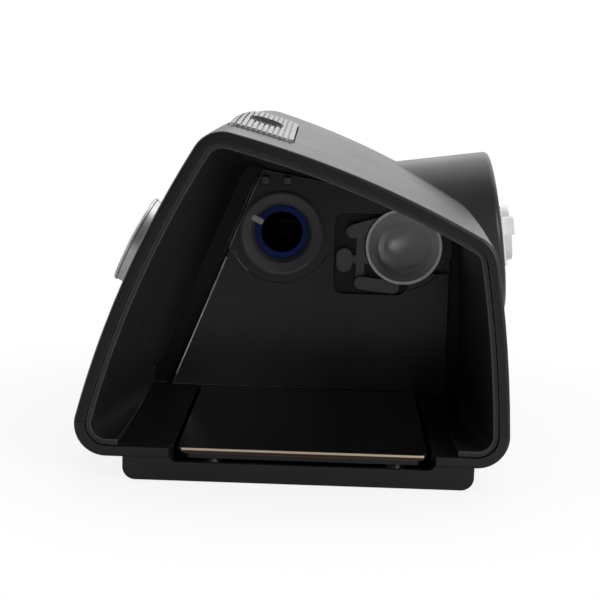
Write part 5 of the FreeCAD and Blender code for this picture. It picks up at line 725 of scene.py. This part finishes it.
def bead(name, strokes, colour):
    """Fine round tubes along strokes, each with its own radius, light in colour as painted
    highlights.
    """
    mesh = bmesh.new()
    for points, radius in strokes:
        points = [Vector(point) for point in points]
        directions = []
        for i in range(len(points)):
            before, after = points[max(0, i - 1)], points[min(len(points) - 1, i + 1)]
            along = (after - before).normalized()
            out = (X_AXIS - along * along.x).normalized()
            directions.append((out, along.cross(out)))
        add_tube(mesh, points, directions, radius)
    paint = Paint(name + "_gloss", colour, 0.25)
    paint.mottle(scale=120, amount=0.25).vary_roughness(scale=200, amount=0.05)
    paint.bump(paint.noise(scale=600, detail=1.0), depth=0.000004)
    as_piece(name, mesh, paint.material, "housing")


def add_edge_highlights():
    """Painted highlights: light tubes along the corners of the end wall's raised panel and of the
    port plate's step.
    """
    def edge(z, x=PANEL_EDGE_X, shift=0.0):
        y = PANEL_FOOT_Y + PANEL_LEAN * (z - PANEL_FOOT_Z) + shift
        return x * MM, y * MM, z * MM

    lower = [edge(z) for z in (14, 20, 28, 36, 44, 52, 58.5)]
    upper = [edge(z, 0.15, -0.40) for z in (61.9, 66, 72, 78, 84, 88.5)]
    outer = [edge(z, -3.85, -1.5) for z in (60, 66, 72, 78, 84, 88)]
    step = [(MM * PLATE_FACE_X, MM * y, MM * z) for y, z in PLATE_STEP]
    # painted highlights: light tubes where the panel's and the plate's edges catch light
    bead("panel_edge_highlight", [(lower, 0.00026)], (0.50, 0.50, 0.51))
    bead("panel_top_highlights", [(upper, 0.00020), (outer, 0.00024), (step, 0.00016)],
         (0.30, 0.30, 0.31))


# the film of painted shade in the button's dish; the standby mark is printed on it
lining = add_dish_painted_shade()
add_dial_face()
add_standby_mark(lining)
add_home_mark()
# painted highlights along the end wall's edges
add_edge_highlights()


# ---------------------------------------------------------------- springs under the heater plate
WIRE_RADIUS = 0.00035
TURNS, STEPS_PER_TURN = 5.5, 20
FLAT_END, CLIMB = 0.12, 0.76  # shares of the wire that lie flat at one end, and that climb
MERGE_DISTANCE = 0.00001


def loose_boxes(node):
    """Lowest and highest corners of each separate solid in a node."""
    mesh = bmesh.new()
    mesh.from_mesh(nodes[node].data)
    bmesh.ops.remove_doubles(mesh, verts=mesh.verts, dist=MERGE_DISTANCE)
    left, boxes = set(mesh.verts), []
    while left:
        group, waiting = set(), [left.pop()]
        while waiting:
            vertex = waiting.pop()
            group.add(vertex)
            for edge in vertex.link_edges:
                other = edge.other_vert(vertex)
                if other in left:
                    left.discard(other)
                    waiting.append(other)
        boxes.append([Vector([pick(v.co[axis] for v in group) for axis in range(3)])
                      for pick in (min, max)])
    mesh.free()
    return sorted(boxes, key=lambda box: tuple(box[0]))


def coil_spring(name, low, high, material):
    """A helix of round wire with flat ends that fills a spring's box."""
    centre, radius = (low + high) / 2, (high.x - low.x) / 2 - WIRE_RADIUS
    bottom, rise = low.z + WIRE_RADIUS, high.z - low.z - 2 * WIRE_RADIUS
    steps = int(TURNS * STEPS_PER_TURN)
    path, directions = [], []
    for i in range(steps + 1):
        share = i / steps
        angle = math.tau * TURNS * share
        climb = min(1, max(0, (share - FLAT_END) / CLIMB))
        point = Vector((centre.x + radius * math.cos(angle), centre.y + radius * math.sin(angle),
                        bottom + rise * climb))
        out = Vector((point.x - centre.x, point.y - centre.y, 0)).normalized()
        path.append(point)
        directions.append((out, Z_AXIS))
    mesh = bmesh.new()
    add_tube(mesh, path, directions, WIRE_RADIUS)
    return as_piece(name, mesh, material, "housing")


def add_springs():
    """Coil springs in the boxes of the CAD springs, which they replace."""
    steel = nodes["heater_springs"].data.materials[0]
    for i, (low, high) in enumerate(loose_boxes("heater_springs")):
        spring = coil_spring(f"heater_spring_{i + 1}", low, high, steel)
        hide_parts("heater_springs")
        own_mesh(spring)


add_springs()
